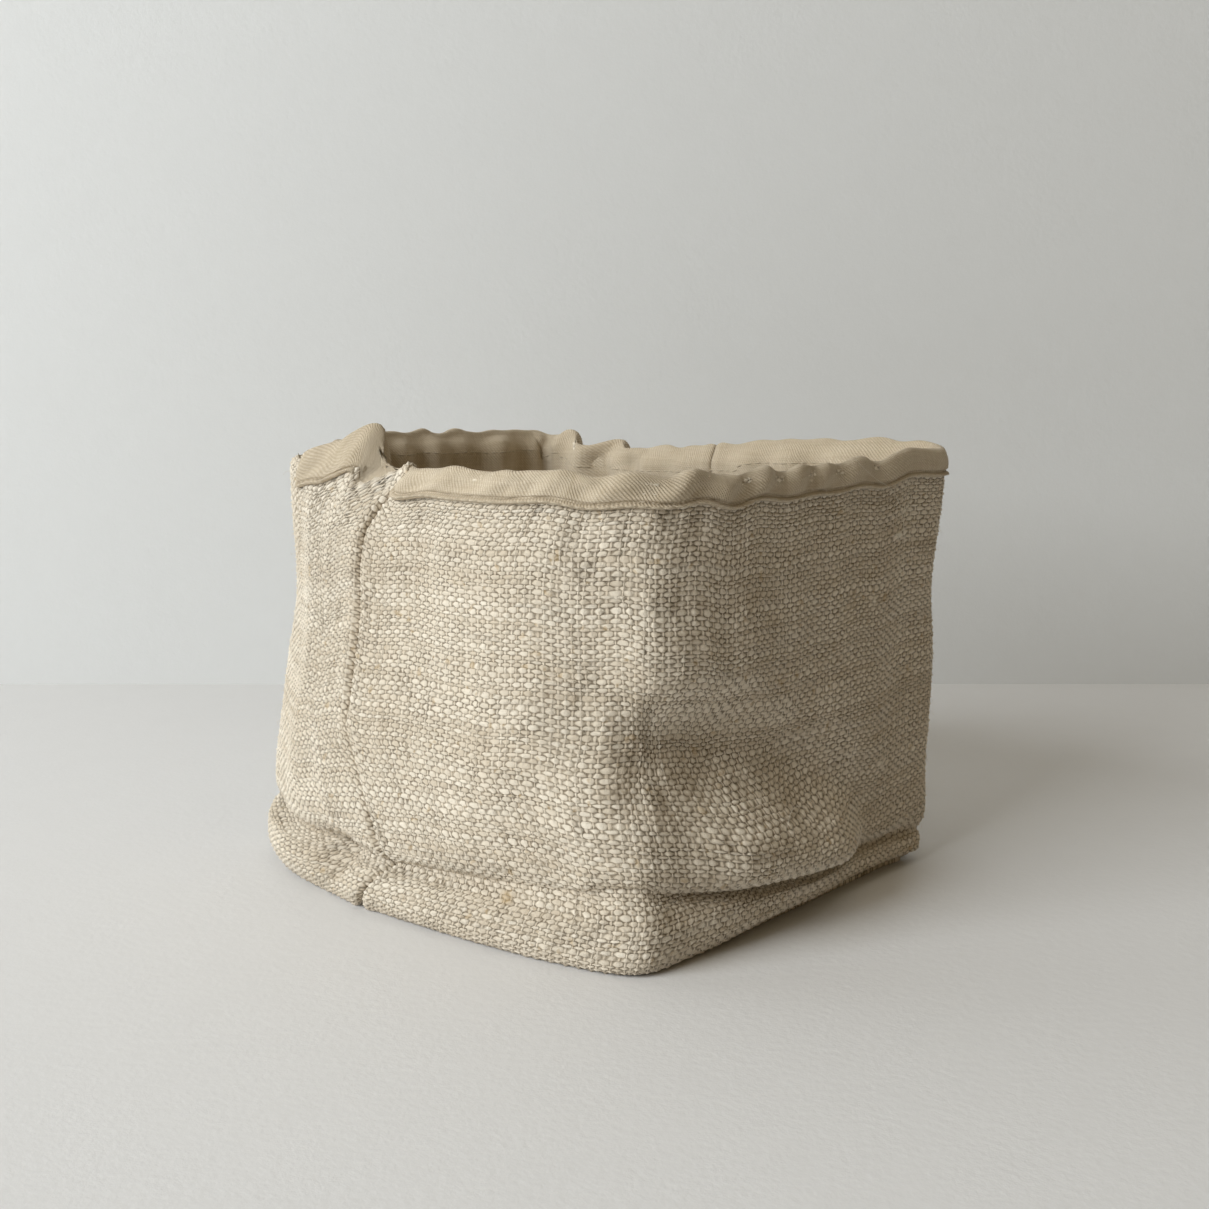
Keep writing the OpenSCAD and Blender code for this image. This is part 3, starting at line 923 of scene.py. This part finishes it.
def seam_line(name, points, outward, spacing):
    """Points a stitch apart along a line, each with its direction and the way out of the cloth."""
    points = np.asarray(points, float)
    arc = np.concatenate([[0], np.cumsum(np.linalg.norm(np.diff(points, axis=0), axis=1))])
    count = max(int(arc[-1] / spacing), 2)
    at = (np.arange(count) + 0.5) * arc[-1] / count
    spots = np.stack([np.interp(at, arc, points[:, k]) for k in range(3)], axis=1)
    out = np.stack([np.interp(at, arc, np.asarray(outward)[:, k]) for k in range(3)], axis=1)
    along = np.gradient(spots, axis=0)
    mesh = bpy.data.meshes.new(name)
    mesh.from_pydata((spots * MM).tolist(), [], [])
    for key, values in (("along", along), ("out", out)):
        attribute = mesh.attributes.new(key, "FLOAT_VECTOR", "POINT")
        unit = values / np.maximum(np.linalg.norm(values, axis=1)[:, None], 1e-9)
        attribute.data.foreach_set("vector", unit.astype(np.float32).ravel())
    return mesh


# The topstitching starts and stops this far round from the left seam, to leave the ear free.
TOPSTITCH_FROM = 8
TOPSTITCH_SHORT = 78
TOPSTITCH_PROUD = 0.08


def band_lines(settled):
    """The topstitching's line on the band outside and on the lining inside, clear of the ear."""
    s = np.linspace(TOPSTITCH_FROM, ROUND - TOPSTITCH_SHORT, 900)
    grid, _, from_edge = lining_surface(s, settled)
    out = -normals_of(grid)
    rows = np.arange(len(s))
    outside = np.argmin(np.abs(from_edge - STITCH_UP), axis=1)
    z = grid[rows, outside, 2]
    inside = np.argmin(np.abs(grid[..., 2] - z[:, None]) + 99 * (from_edge < BAND_H + 4), axis=1)
    return (
        (grid[rows, outside] + TOPSTITCH_PROUD * out[rows, outside], out[rows, outside]),
        (grid[rows, inside], out[rows, inside]),
    )


# --- materials --------------------------------------------------------------------------------

HEMP_PALE = (0.87, 0.79, 0.665)
HEMP_DEEP = (0.56, 0.455, 0.325)
# Painted shade for the pits between the hemp's yarns
HEMP_PIT_SHADE = (0.11, 0.08, 0.045)
HEMP_STRAW = (0.52, 0.37, 0.19)
LINING_PALE = (0.72, 0.63, 0.50)
LINING_DEEP = (0.46, 0.37, 0.25)
# Painted shade for the fine groove above the band's welt
LINING_GROOVE_SHADE = (0.22, 0.165, 0.10)
TOP_THREAD = (0.56, 0.47, 0.34)
SEAM_THREAD = (0.42, 0.34, 0.24)
FIBRE_PALE = (0.82, 0.75, 0.63)


def shader_group(name, inputs, outputs):
    group = bpy.data.node_groups.new(name, "ShaderNodeTree")
    for key, (kind, value) in inputs.items():
        socket = group.interface.new_socket(key, in_out="INPUT", socket_type=kind)
        if value is not None:
            socket.default_value = value
    for key, kind in outputs.items():
        group.interface.new_socket(key, in_out="OUTPUT", socket_type=kind)
    return group, group.nodes.new("NodeGroupInput"), group.nodes.new("NodeGroupOutput")


def hand_out(group, out, values):
    """Link a group's results to its outputs."""
    for key, value in values.items():
        group.links.new(value, out.inputs[key])
    return group


def noise(tree, vector, scale, detail=3.0, roughness=0.55, distortion=0.0):
    return add_node(tree, "ShaderNodeTexNoise", {
        "Vector": vector, "Scale": scale, "Detail": detail, "Roughness": roughness, "Distortion": distortion,
    }).outputs["Fac"]


def stretched(tree, vector, x, y, z=1.0):
    inputs = {0: vector, 1: (x, y, z)}
    return add_node(tree, "ShaderNodeVectorMath", inputs, operation="MULTIPLY").outputs[0]


def to_range(tree, value, low, high, to_low=0.0, to_high=1.0):
    return add_node(tree, "ShaderNodeMapRange", {
        "Value": value, "From Min": low, "From Max": high, "To Min": to_low, "To Max": to_high,
    }).outputs[0]


def blend(tree, amount, first, second):
    """Mix two colours, each a plain colour or another node's output."""
    node = add_node(tree, "ShaderNodeMix", {"Factor": amount}, data_type="RGBA")
    colours = [s for s in node.inputs if s.type == "RGBA"]
    for socket, value in zip(colours, (first, second)):
        feed(tree, socket, (*value, 1) if isinstance(value, tuple) else value)
    return [s for s in node.outputs if s.type == "RGBA"][0]


def paint_over(tree, colour, layers):
    """Lay plain colours over a colour, each by its own amount."""
    for amount, layer in layers:
        colour = blend(tree, amount, colour, layer)
    return colour


def attribute(tree, name):
    return add_node(tree, "ShaderNodeAttribute", attribute_name=name).outputs["Fac"]


def white_noise(tree, vector):
    return add_node(tree, "ShaderNodeTexWhiteNoise", {"Vector": vector}).outputs["Value"]


def split_xyz(tree, vector):
    return add_node(tree, "ShaderNodeSeparateXYZ", {0: vector}).outputs


def plain_weave_group():
    """Yarns that pass over and under each other, from coordinates counted in yarns."""
    group, inp, out = shader_group(
        "plain_weave",
        {"Yarns": ("NodeSocketVector", None), "Waver": ("NodeSocketFloat", 0.2)},
        {"Height": "NodeSocketFloat", "Pit Shade": "NodeSocketFloat", "Warp Tone": "NodeSocketFloat",
         "Weft Tone": "NodeSocketFloat", "Warp On Top": "NodeSocketFloat", "Bead": "NodeSocketFloat"},
    )
    yarns = inp.outputs["Yarns"]
    along_u, along_v, _ = split_xyz(group, yarns)
    uneven_u = minus(group, noise(group, stretched(group, yarns, 0.9, 0.35), 1.0), 0.5)
    uneven_v = minus(group, noise(group, stretched(group, yarns, 0.35, 0.9), 1.3), 0.5)
    u = plus(group, along_u, times(group, uneven_u, inp.outputs["Waver"]))
    v = plus(group, along_v, times(group, uneven_v, inp.outputs["Waver"]))
    column, row = math_node(group, "ROUND", u), math_node(group, "ROUND", v)
    off_u, off_v = minus(group, u, column), minus(group, v, row)

    # Each cosine is 1 where its yarn lies on top and -1 where it passes under.
    weft_over = cosine(group, times(group, minus(group, minus(group, u, row), 1.0), math.pi))
    warp_over = cosine(group, times(group, minus(group, v, column), math.pi))
    weft_round = cosine(group, times(group, off_v, 2.9))
    weft_height = plus(group, times(group, weft_round, 0.55), times(group, weft_over, 0.45))
    slim = math_node(group, "DIVIDE", math_node(group, "ABSOLUTE", off_u), 0.24)
    slim = math_node(group, "POWER", slim, 2.0)
    warp_round = math_node(group, "MAXIMUM", minus(group, 1.0, slim), -1.0)
    warp_height = plus(group, times(group, warp_round, 0.45), times(group, warp_over, 0.25))
    warp_height = minus(group, warp_height, 0.15)
    on_top = math_node(group, "GREATER_THAN", warp_height, weft_height)
    height = math_node(group, "SMOOTH_MAX", warp_height, weft_height, 0.1)
    # Painted shade: a mask that is 1 in the pits between the yarns, where shade falls, and 0 on their tops
    hole_size = noise(group, stretched(group, yarns, 0.21, 0.3), 1.0)
    open_here = to_range(group, height, 0.44, 0.18)
    pit_shade = times(group, open_here, to_range(group, hole_size, 0.3, 0.7, 0.45, 1.0))
    tones = {}
    for key, x, y, seed in (("Warp Tone", column, None, 3.1), ("Weft Tone", None, row, 7.7)):
        own = white_noise(group, xyz(group, x if x else seed, y if y else seed, seed))
        run_x = times(group, x, 5.3) if x else times(group, u, 0.11)
        run_y = times(group, y, 5.3) if y else times(group, v, 0.11)
        run = noise(group, xyz(group, run_x, run_y, seed), 1.0)
        tones[key] = plus(group, times(group, own, 0.45), times(group, run, 0.55))
    tones["Bead"] = white_noise(group, xyz(group, column, row, 1.3))
    return hand_out(group, out, {"Height": height, "Pit Shade": pit_shade, "Warp On Top": on_top, **tones})


def twill_group():
    """Fine diagonal ribs, from coordinates counted in ribs."""
    group, inp, out = shader_group(
        "fine_twill", {"Ribs": ("NodeSocketVector", None)},
        {"Height": "NodeSocketFloat", "Tone": "NodeSocketFloat"},
    )
    ribs = inp.outputs["Ribs"]
    across, along, _ = split_xyz(group, ribs)
    waver = times(group, noise(group, ribs, 0.35), 0.7)
    diagonal = plus(group, minus(group, across, along), waver)
    rib = sine(group, times(group, diagonal, 2 * math.pi * 0.72))
    float_end = sine(group, times(group, along, 2 * math.pi * 1.4))
    height = plus(group, times(group, rib, 0.5), times(group, float_end, 0.18))
    yarn_runs = noise(group, stretched(group, ribs, 0.9, 0.05), 1.0)
    cross_runs = noise(group, stretched(group, ribs, 0.05, 0.9), 1.0)
    tone = plus(group, times(group, yarn_runs, 0.5), times(group, cross_runs, 0.5))
    return hand_out(group, out, {"Height": height, "Tone": tone})


def fibre_haze_group():
    """Fine hairs and dust of a natural cloth, in object space: a mask of pale hairs and a rough height."""
    group, inp, out = shader_group(
        "fibre_haze", {"Position": ("NodeSocketVector", None), "Scale": ("NodeSocketFloat", 900.0)},
        {"Hairs": "NodeSocketFloat", "Rough Height": "NodeSocketFloat", "Patches": "NodeSocketFloat",
         "Specks": "NodeSocketFloat"},
    )
    where = inp.outputs["Position"]
    scale = inp.outputs["Scale"]
    fine = noise(group, where, scale, 4.0, 0.7)
    twisted = noise(group, where, times(group, scale, 0.45), 2.0, 0.5, 1.6)
    thin_line = math_node(group, "ABSOLUTE", minus(group, twisted, 0.5))
    specks = noise(group, where, times(group, scale, 0.33), 1.0)
    return hand_out(group, out, {
        "Hairs": to_range(group, thin_line, 0.0, 0.035, 1.0, 0.0),
        "Rough Height": fine,
        "Patches": noise(group, where, times(group, scale, 0.035), 3.0),
        "Specks": to_range(group, specks, 0.69, 0.74),
    })


def new_material(name, roughness, sheen=0.0):
    material = bpy.data.materials.new(name)
    material.use_nodes = True
    shader = material.node_tree.nodes["Principled BSDF"]
    shader.inputs["Roughness"].default_value = roughness
    shader.inputs["Specular IOR Level"].default_value = 0.2
    shader.inputs["Sheen Weight"].default_value = sheen
    shader.inputs["Sheen Roughness"].default_value = 0.6
    shader.inputs["Sheen Tint"].default_value = (1.0, 0.97, 0.92, 1)
    return material, material.node_tree, shader


def use_group(tree, group, **links):
    node = add_node(tree, "ShaderNodeGroup", node_tree=group)
    for key, value in links.items():
        feed(tree, node.inputs[key.replace("_", " ")], value)
    return node.outputs


def coordinates(tree, output):
    if output == "Object":
        return tree.nodes.new("ShaderNodeTexCoord").outputs["Object"]
    return add_node(tree, "ShaderNodeUVMap", uv_map="cloth").outputs[0]


def add_bump(tree, shader, height, strength, distance):
    node = add_node(tree, "ShaderNodeBump", {"Strength": strength, "Distance": distance, "Height": height})
    tree.links.new(node.outputs[0], shader.inputs["Normal"])


def hemp_material(weave, haze):
    material, tree, shader = new_material("hemp_sackcloth", 0.95, 0.1)
    woven = use_group(tree, weave, Yarns=coordinates(tree, "UV"), Waver=0.25)
    fuzz = use_group(tree, haze, Position=coordinates(tree, "Object"), Scale=1100.0)
    tone = add_node(tree, "ShaderNodeMix", {
        "Factor": woven["Warp On Top"], 2: woven["Weft Tone"], 3: woven["Warp Tone"],
    })
    tone = to_range(tree, tone.outputs[0], 0.28, 0.72)
    bead = plus(tree, times(tree, tone, 0.30), times(tree, woven["Bead"], 0.14))
    bead = plus(tree, bead, times(tree, fuzz["Patches"], 0.50))
    slub = attribute(tree, "slub")
    colour = blend(tree, to_range(tree, bead, 0.0, 0.66), HEMP_DEEP, HEMP_PALE)
    colour = paint_over(tree, colour, (
        # Painted shade: the hemp is darker where its yarns lie low between the beads
        (to_range(tree, woven["Height"], 0.1, 0.7, 0.55, 0.0), HEMP_DEEP),
        # Painted shade in the pits between the yarns
        (times(tree, woven["Pit Shade"], 0.85), HEMP_PIT_SHADE),
        (times(tree, fuzz["Specks"], 0.45), HEMP_STRAW),
        (times(tree, fuzz["Hairs"], 0.28), FIBRE_PALE),
        (to_range(tree, slub, 0.25, 0.8, 0.0, 0.8), FIBRE_PALE),
        (to_range(tree, slub, -0.8, -0.2, 0.6, 0.0), HEMP_STRAW),
    ))
    tree.links.new(colour, shader.inputs["Base Color"])
    height = plus(tree, woven["Height"], times(tree, fuzz["Rough Height"], 0.9))
    height = plus(tree, height, times(tree, fuzz["Hairs"], 0.15))
    add_bump(tree, shader, height, 0.9, 0.00038)
    return material


def lining_material(twill, haze):
    material, tree, shader = new_material("twill_lining", 0.85, 0.12)
    woven = use_group(tree, twill, Ribs=coordinates(tree, "UV"))
    fuzz = use_group(tree, haze, Position=coordinates(tree, "Object"), Scale=1600.0)
    tone = plus(tree, times(tree, woven["Tone"], 0.7), times(tree, fuzz["Patches"], 0.3))
    colour = blend(tree, to_range(tree, tone, 0.3, 0.7), LINING_DEEP, LINING_PALE)
    colour = paint_over(tree, colour, (
        # Painted shade: the twill is darker in the low lines between its ribs
        (to_range(tree, woven["Height"], -0.55, 0.35, 0.75, 0.0), LINING_DEEP),
        (times(tree, fuzz["Hairs"], 0.10), FIBRE_PALE),
        # Painted shade in the fine groove above the band's welt
        (times(tree, attribute(tree, "groove"), 0.6), LINING_GROOVE_SHADE),
    ))
    tree.links.new(colour, shader.inputs["Base Color"])
    height = plus(tree, woven["Height"], times(tree, fuzz["Rough Height"], 0.5))
    add_bump(tree, shader, height, 0.9, 0.00016)
    return material


def thread_material(name, pale, haze, roughness, sheen):
    material, tree, shader = new_material(name, roughness, sheen)
    where = coordinates(tree, "Object")
    fuzz = use_group(tree, haze, Position=where, Scale=3200.0)
    deep = tuple(0.62 * c for c in pale)
    colour = blend(tree, to_range(tree, fuzz["Rough Height"], 0.35, 0.65), deep, pale)
    colour = blend(tree, times(tree, fuzz["Hairs"], 0.2), colour, FIBRE_PALE)
    tree.links.new(colour, shader.inputs["Base Color"])
    add_bump(tree, shader, fuzz["Rough Height"], 0.5, 0.0001)
    return material


# --- stage, light and camera ------------------------------------------------------------------

CAMERA_AT = Vector((-0.2898, -0.2853, 0.1383))
CAMERA_TURN = math.radians(46.3)
CAMERA_DIP = math.radians(9.64)
CAMERA_LENS = 44.67
WALL_AWAY = 0.615
ROOM = 3.0
TABLE_PAINT = (0.745, 0.745, 0.75)
WALL_PAINT = (0.71, 0.72, 0.72)
ROOM_COLOUR = (1.0, 0.73, 0.36)
ROOM_STRENGTH = 0.14
# Each lamp's width, energy, colour, place and the point it shines at
LAMPS = {
    "window": (1.1, 29.8, (0.94, 0.98, 1.0), (-1.48, 0.30, 0.84), (0, 0, 0.05)),
    "ceiling": (1.4, 3.2, (1.0, 0.90, 0.70), (0.25, -0.1, 1.5), (0.1, 0, 0)),
}


def plane(name, corners, colour):
    mesh = bpy.data.meshes.new(name)
    mesh.from_pydata(corners, [], [(0, 1, 2, 3)])
    material, tree, shader = new_material(name + "_paint", 0.6)
    where = coordinates(tree, "Object")
    soft = noise(tree, where, 90.0, 4.0, 0.6)
    darker = tuple(0.97 * c for c in colour)
    tree.links.new(blend(tree, soft, darker, colour), shader.inputs["Base Color"])
    add_bump(tree, shader, noise(tree, where, 420.0, 3.0, 0.6), 0.25, 0.0004)
    mesh.materials.append(material)
    link(name, mesh)


def add_stage():
    ahead = Vector((math.sin(CAMERA_TURN), math.cos(CAMERA_TURN), 0))
    side = Vector((ahead.y, -ahead.x, 0))
    foot_line = CAMERA_AT + ahead * WALL_AWAY
    foot_line.z = 0
    left, right = foot_line - side * ROOM, foot_line + side * ROOM
    near = -ahead * 2 * ROOM
    up = Vector((0, 0, ROOM))
    plane("table_top", [left + near, right + near, right, left], TABLE_PAINT)
    plane("wall", [left, right, right + up, left + up], WALL_PAINT)


def add_lamp(name, size, energy, colour, at, towards):
    lamp = bpy.data.lights.new(name, "AREA")
    lamp.shape = "SQUARE"
    lamp.size = size
    lamp.energy = energy
    lamp.color = colour
    holder = link(name, lamp)
    holder.location = at
    holder.rotation_euler = (Vector(towards) - Vector(at)).to_track_quat("-Z", "Y").to_euler()


def add_light():
    world = bpy.data.worlds.new("room")
    world.use_nodes = True
    world.node_tree.nodes["Background"].inputs["Color"].default_value = (*ROOM_COLOUR, 1)
    world.node_tree.nodes["Background"].inputs["Strength"].default_value = ROOM_STRENGTH
    bpy.context.scene.world = world
    for name, lamp in LAMPS.items():
        add_lamp(name, *lamp)


def add_camera():
    data = bpy.data.cameras.new("camera")
    data.lens = CAMERA_LENS
    data.sensor_width = 36
    data.clip_start = 0.01
    camera = link("camera", data)
    camera.location = CAMERA_AT
    camera.rotation_euler = (math.pi / 2 - CAMERA_DIP, 0, -CAMERA_TURN)
    bpy.context.scene.camera = camera


# --- the bag ----------------------------------------------------------------------------------

# Rows of stitches: from one to the next, length and thickness
NEEDLE_STITCH = (2.9, 2.8, 0.45)
BOBBIN_STITCH = (2.9, 2.7, 0.38)
SEAM_STITCH = (2.6, 2.0, 0.3)
STITCH_SEED = 7
LINE_POINTS = 60
# Seams of the base: height, and whether the stitches face up or down
UNDERSIDE = (0.6, -1)
FLOOR_TOP = (3.1, 1)
FIBRE_ROWS = slice(26, -14, 4)
HAIR_RADIUS = 0.055
FIBRES = {"Density": 95000.0, "Length": 1.9 * MM, "Thickness": 0.07 * MM, "Seed": 12}


def add_sheet(piece, side, cloth):
    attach(piece, "root")
    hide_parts(f"{cloth[0]}_{side}_panel")


def add_thread(node, line, tree, material, stitch):
    """A row of stitches along a line, which is given as its points and the way out of the cloth."""
    name = node + "_stitches"
    spacing, length, thickness = stitch
    mesh = seam_line(name, *line, spacing)
    values = {"Length": length * MM, "Thickness": thickness * MM, "Seed": STITCH_SEED}
    piece = grown(name, mesh, tree, {**values, "Material": material})
    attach(piece, "root")
    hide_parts(node)


def side_line(grid, column, low, high):
    """A side seam's line up a wall grid, between two heights."""
    normal, line = normals_of(grid)[column], grid[column]
    keep = (line[:, 2] > low) & (line[:, 2] < high)
    return line[keep], normal[keep]


def lining_side_line(name, settled):
    """A side seam's line up the inside of the lining, below the rim."""
    seam_at = place(f"{name}_seam") + np.array([-0.8, 0, 0.8])
    column = lining_surface(seam_at, settled)[0][1]
    keep = (column[:, 2] > 4) & (column[:, 2] < 0.9 * RIM_Z) & (LINING_SHARES < 0.86)
    inward = [1.0 if name == "left" else -1.0, 0, 0]
    return column[keep], np.tile(inward, (keep.sum(), 1))


def base_line(half, z, outward_z):
    """A straight line along the middle of the base."""
    line = np.zeros((LINE_POINTS, 3))
    line[:, 0] = np.linspace(-half, half, LINE_POINTS)
    line[:, 2] = z
    return line, np.tile([0, 0, outward_z], (LINE_POINTS, 1))


def end_line(name, out, z, outward_z):
    """A line across one boxed end of the base, just inside the outline."""
    ends = {"left": (place("left_back") - ROUND, place("near_left")),
            "right": (place("right_front"), place("right_back"))}
    line = foot(np.linspace(*ends[name], LINE_POINTS), out, z)
    return line, np.tile([0, 0, outward_z], (LINE_POINTS, 1))


def fibre_field(walls):
    """Coarse copies of the hemp walls, clear of table and rim, for the loose fibres to grow on."""
    points, faces = [], []
    for grid in walls:
        coarse = grid[::4, FIBRE_ROWS]
        index = len(points) + np.arange(coarse.shape[0] * coarse.shape[1]).reshape(coarse.shape[:2])
        faces += grid_quads(index, False).tolist()
        points += (coarse.reshape(-1, 3) * MM).tolist()
    mesh = bpy.data.meshes.new("fibre_field")
    mesh.from_pydata(points, [], faces)
    return mesh


# Long hairs that have worked out of the yarn: a station, mm past it and a height at each point
LONG_HAIRS = [
    [("far_corner", -44, 112, 1.5), ("far_corner", -36, 107, 1.6), ("far_corner", -27, 102, 1.8),
     ("far_corner", -23, 96, 1.6), ("far_corner", -21, 88, 1.0)],
    [("far_corner", -22, 96, 1.0), ("far_corner", -19, 100, 1.8), ("far_corner", -15, 102, 1.6)],
    [("near_corner", 38, 27, 1), ("near_corner", 46, 30, 3), ("near_corner", 53, 27, 2.4),
     ("near_corner", 57, 31, 1)],
    [("right_seam", 20, 70, 1), ("right_seam", 27, 74, 3), ("right_seam", 36, 71, 1.5)],
    [("back_1", 10, 60, 1), ("back_1", 19, 66, 3), ("back_1", 27, 60, 1.5)],
]


def long_hairs(material):
    """The few long hairs, each a thin swept strand."""
    data = bpy.data.curves.new("long_hairs", "CURVE")
    data.dimensions = "3D"
    data.bevel_depth = HAIR_RADIUS * MM
    data.bevel_resolution = 1
    data.resolution_u = 8
    for hair in LONG_HAIRS:
        places = np.array([place(name, offset) for name, offset, _, _ in hair])
        heights = np.array([[[out, z]] for _, _, z, out in hair], float)
        spots = wall(places, heights)[:, 0]
        spline = data.splines.new("BEZIER")
        spline.bezier_points.add(len(spots) - 1)
        for point, spot in zip(spline.bezier_points, spots):
            point.co = Vector(spot) * MM
            point.handle_left_type = point.handle_right_type = "AUTO"
    curve = link("long_hairs_curve", data)
    mesh = bpy.data.meshes.new_from_object(curve.evaluated_get(bpy.context.evaluated_depsgraph_get()))
    bpy.data.objects.remove(curve)
    mesh.materials.clear()
    mesh.materials.append(material)
    return link("long_hairs", mesh)


def build():
    weave, twill, haze = plain_weave_group(), twill_group(), fibre_haze_group()
    hemp = hemp_material(weave, haze)
    lining = lining_material(twill, haze)
    top_thread = thread_material("topstitch_thread", TOP_THREAD, haze, 0.7, 0.2)
    seam_thread = thread_material("seam_thread", SEAM_THREAD, haze, 0.85, 0.1)
    fibre = thread_material("hemp_fibre", FIBRE_PALE, haze, 0.8, 0.2)

    hemp_settled = settle("hemp_settling", hemp_controls, *HEMP_SETTLING)
    lining_settled = settle("lining_settling", lining_controls, *LINING_SETTLING)

    walls = {}
    for side in PANELS:
        piece, walls[side] = hemp_panel(side, hemp, hemp_settled)
        add_sheet(piece, side, ("outer", "hemp_cloth"))
        piece = lining_panel(side, lining, lining_settled)
        add_sheet(piece, side, ("lining", "twill_lining"))

    stitches = stitch_tree()
    needle, bobbin = band_lines(lining_settled)
    add_thread("rim_needle_thread", needle, stitches, top_thread, NEEDLE_STITCH)
    add_thread("rim_bobbin_thread", bobbin, stitches, top_thread, BOBBIN_STITCH)

    def seam(node, line):
        add_thread(node, line, stitches, seam_thread, SEAM_STITCH)

    for name, column in (("left", 0), ("right", -1)):
        seam(f"outer_side_seam_{name}", side_line(walls["front"], column, 1.5, 0.93 * RIM_Z))
        seam(f"lining_side_seam_{name}", lining_side_line(name, lining_settled))
        seam(f"outer_corner_seam_{name}", end_line(name, -8.5, *UNDERSIDE))
        seam(f"lining_corner_seam_{name}", end_line(name, -15.0, *FLOOR_TOP))
    seam("outer_base_seam", base_line(0.84 * HALF_W, *UNDERSIDE))
    seam("lining_base_seam", base_line(0.74 * HALF_W, *FLOOR_TOP))

    field = fibre_field(walls.values())
    fibres = grown("loose_fibres", field, fibre_tree(), {**FIBRES, "Material": fibre})
    for piece in (fibres, long_hairs(fibre)):
        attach(piece, "root")


build()
add_stage()
add_light()
add_camera()
bpy.context.scene.view_settings.view_transform = "Standard"
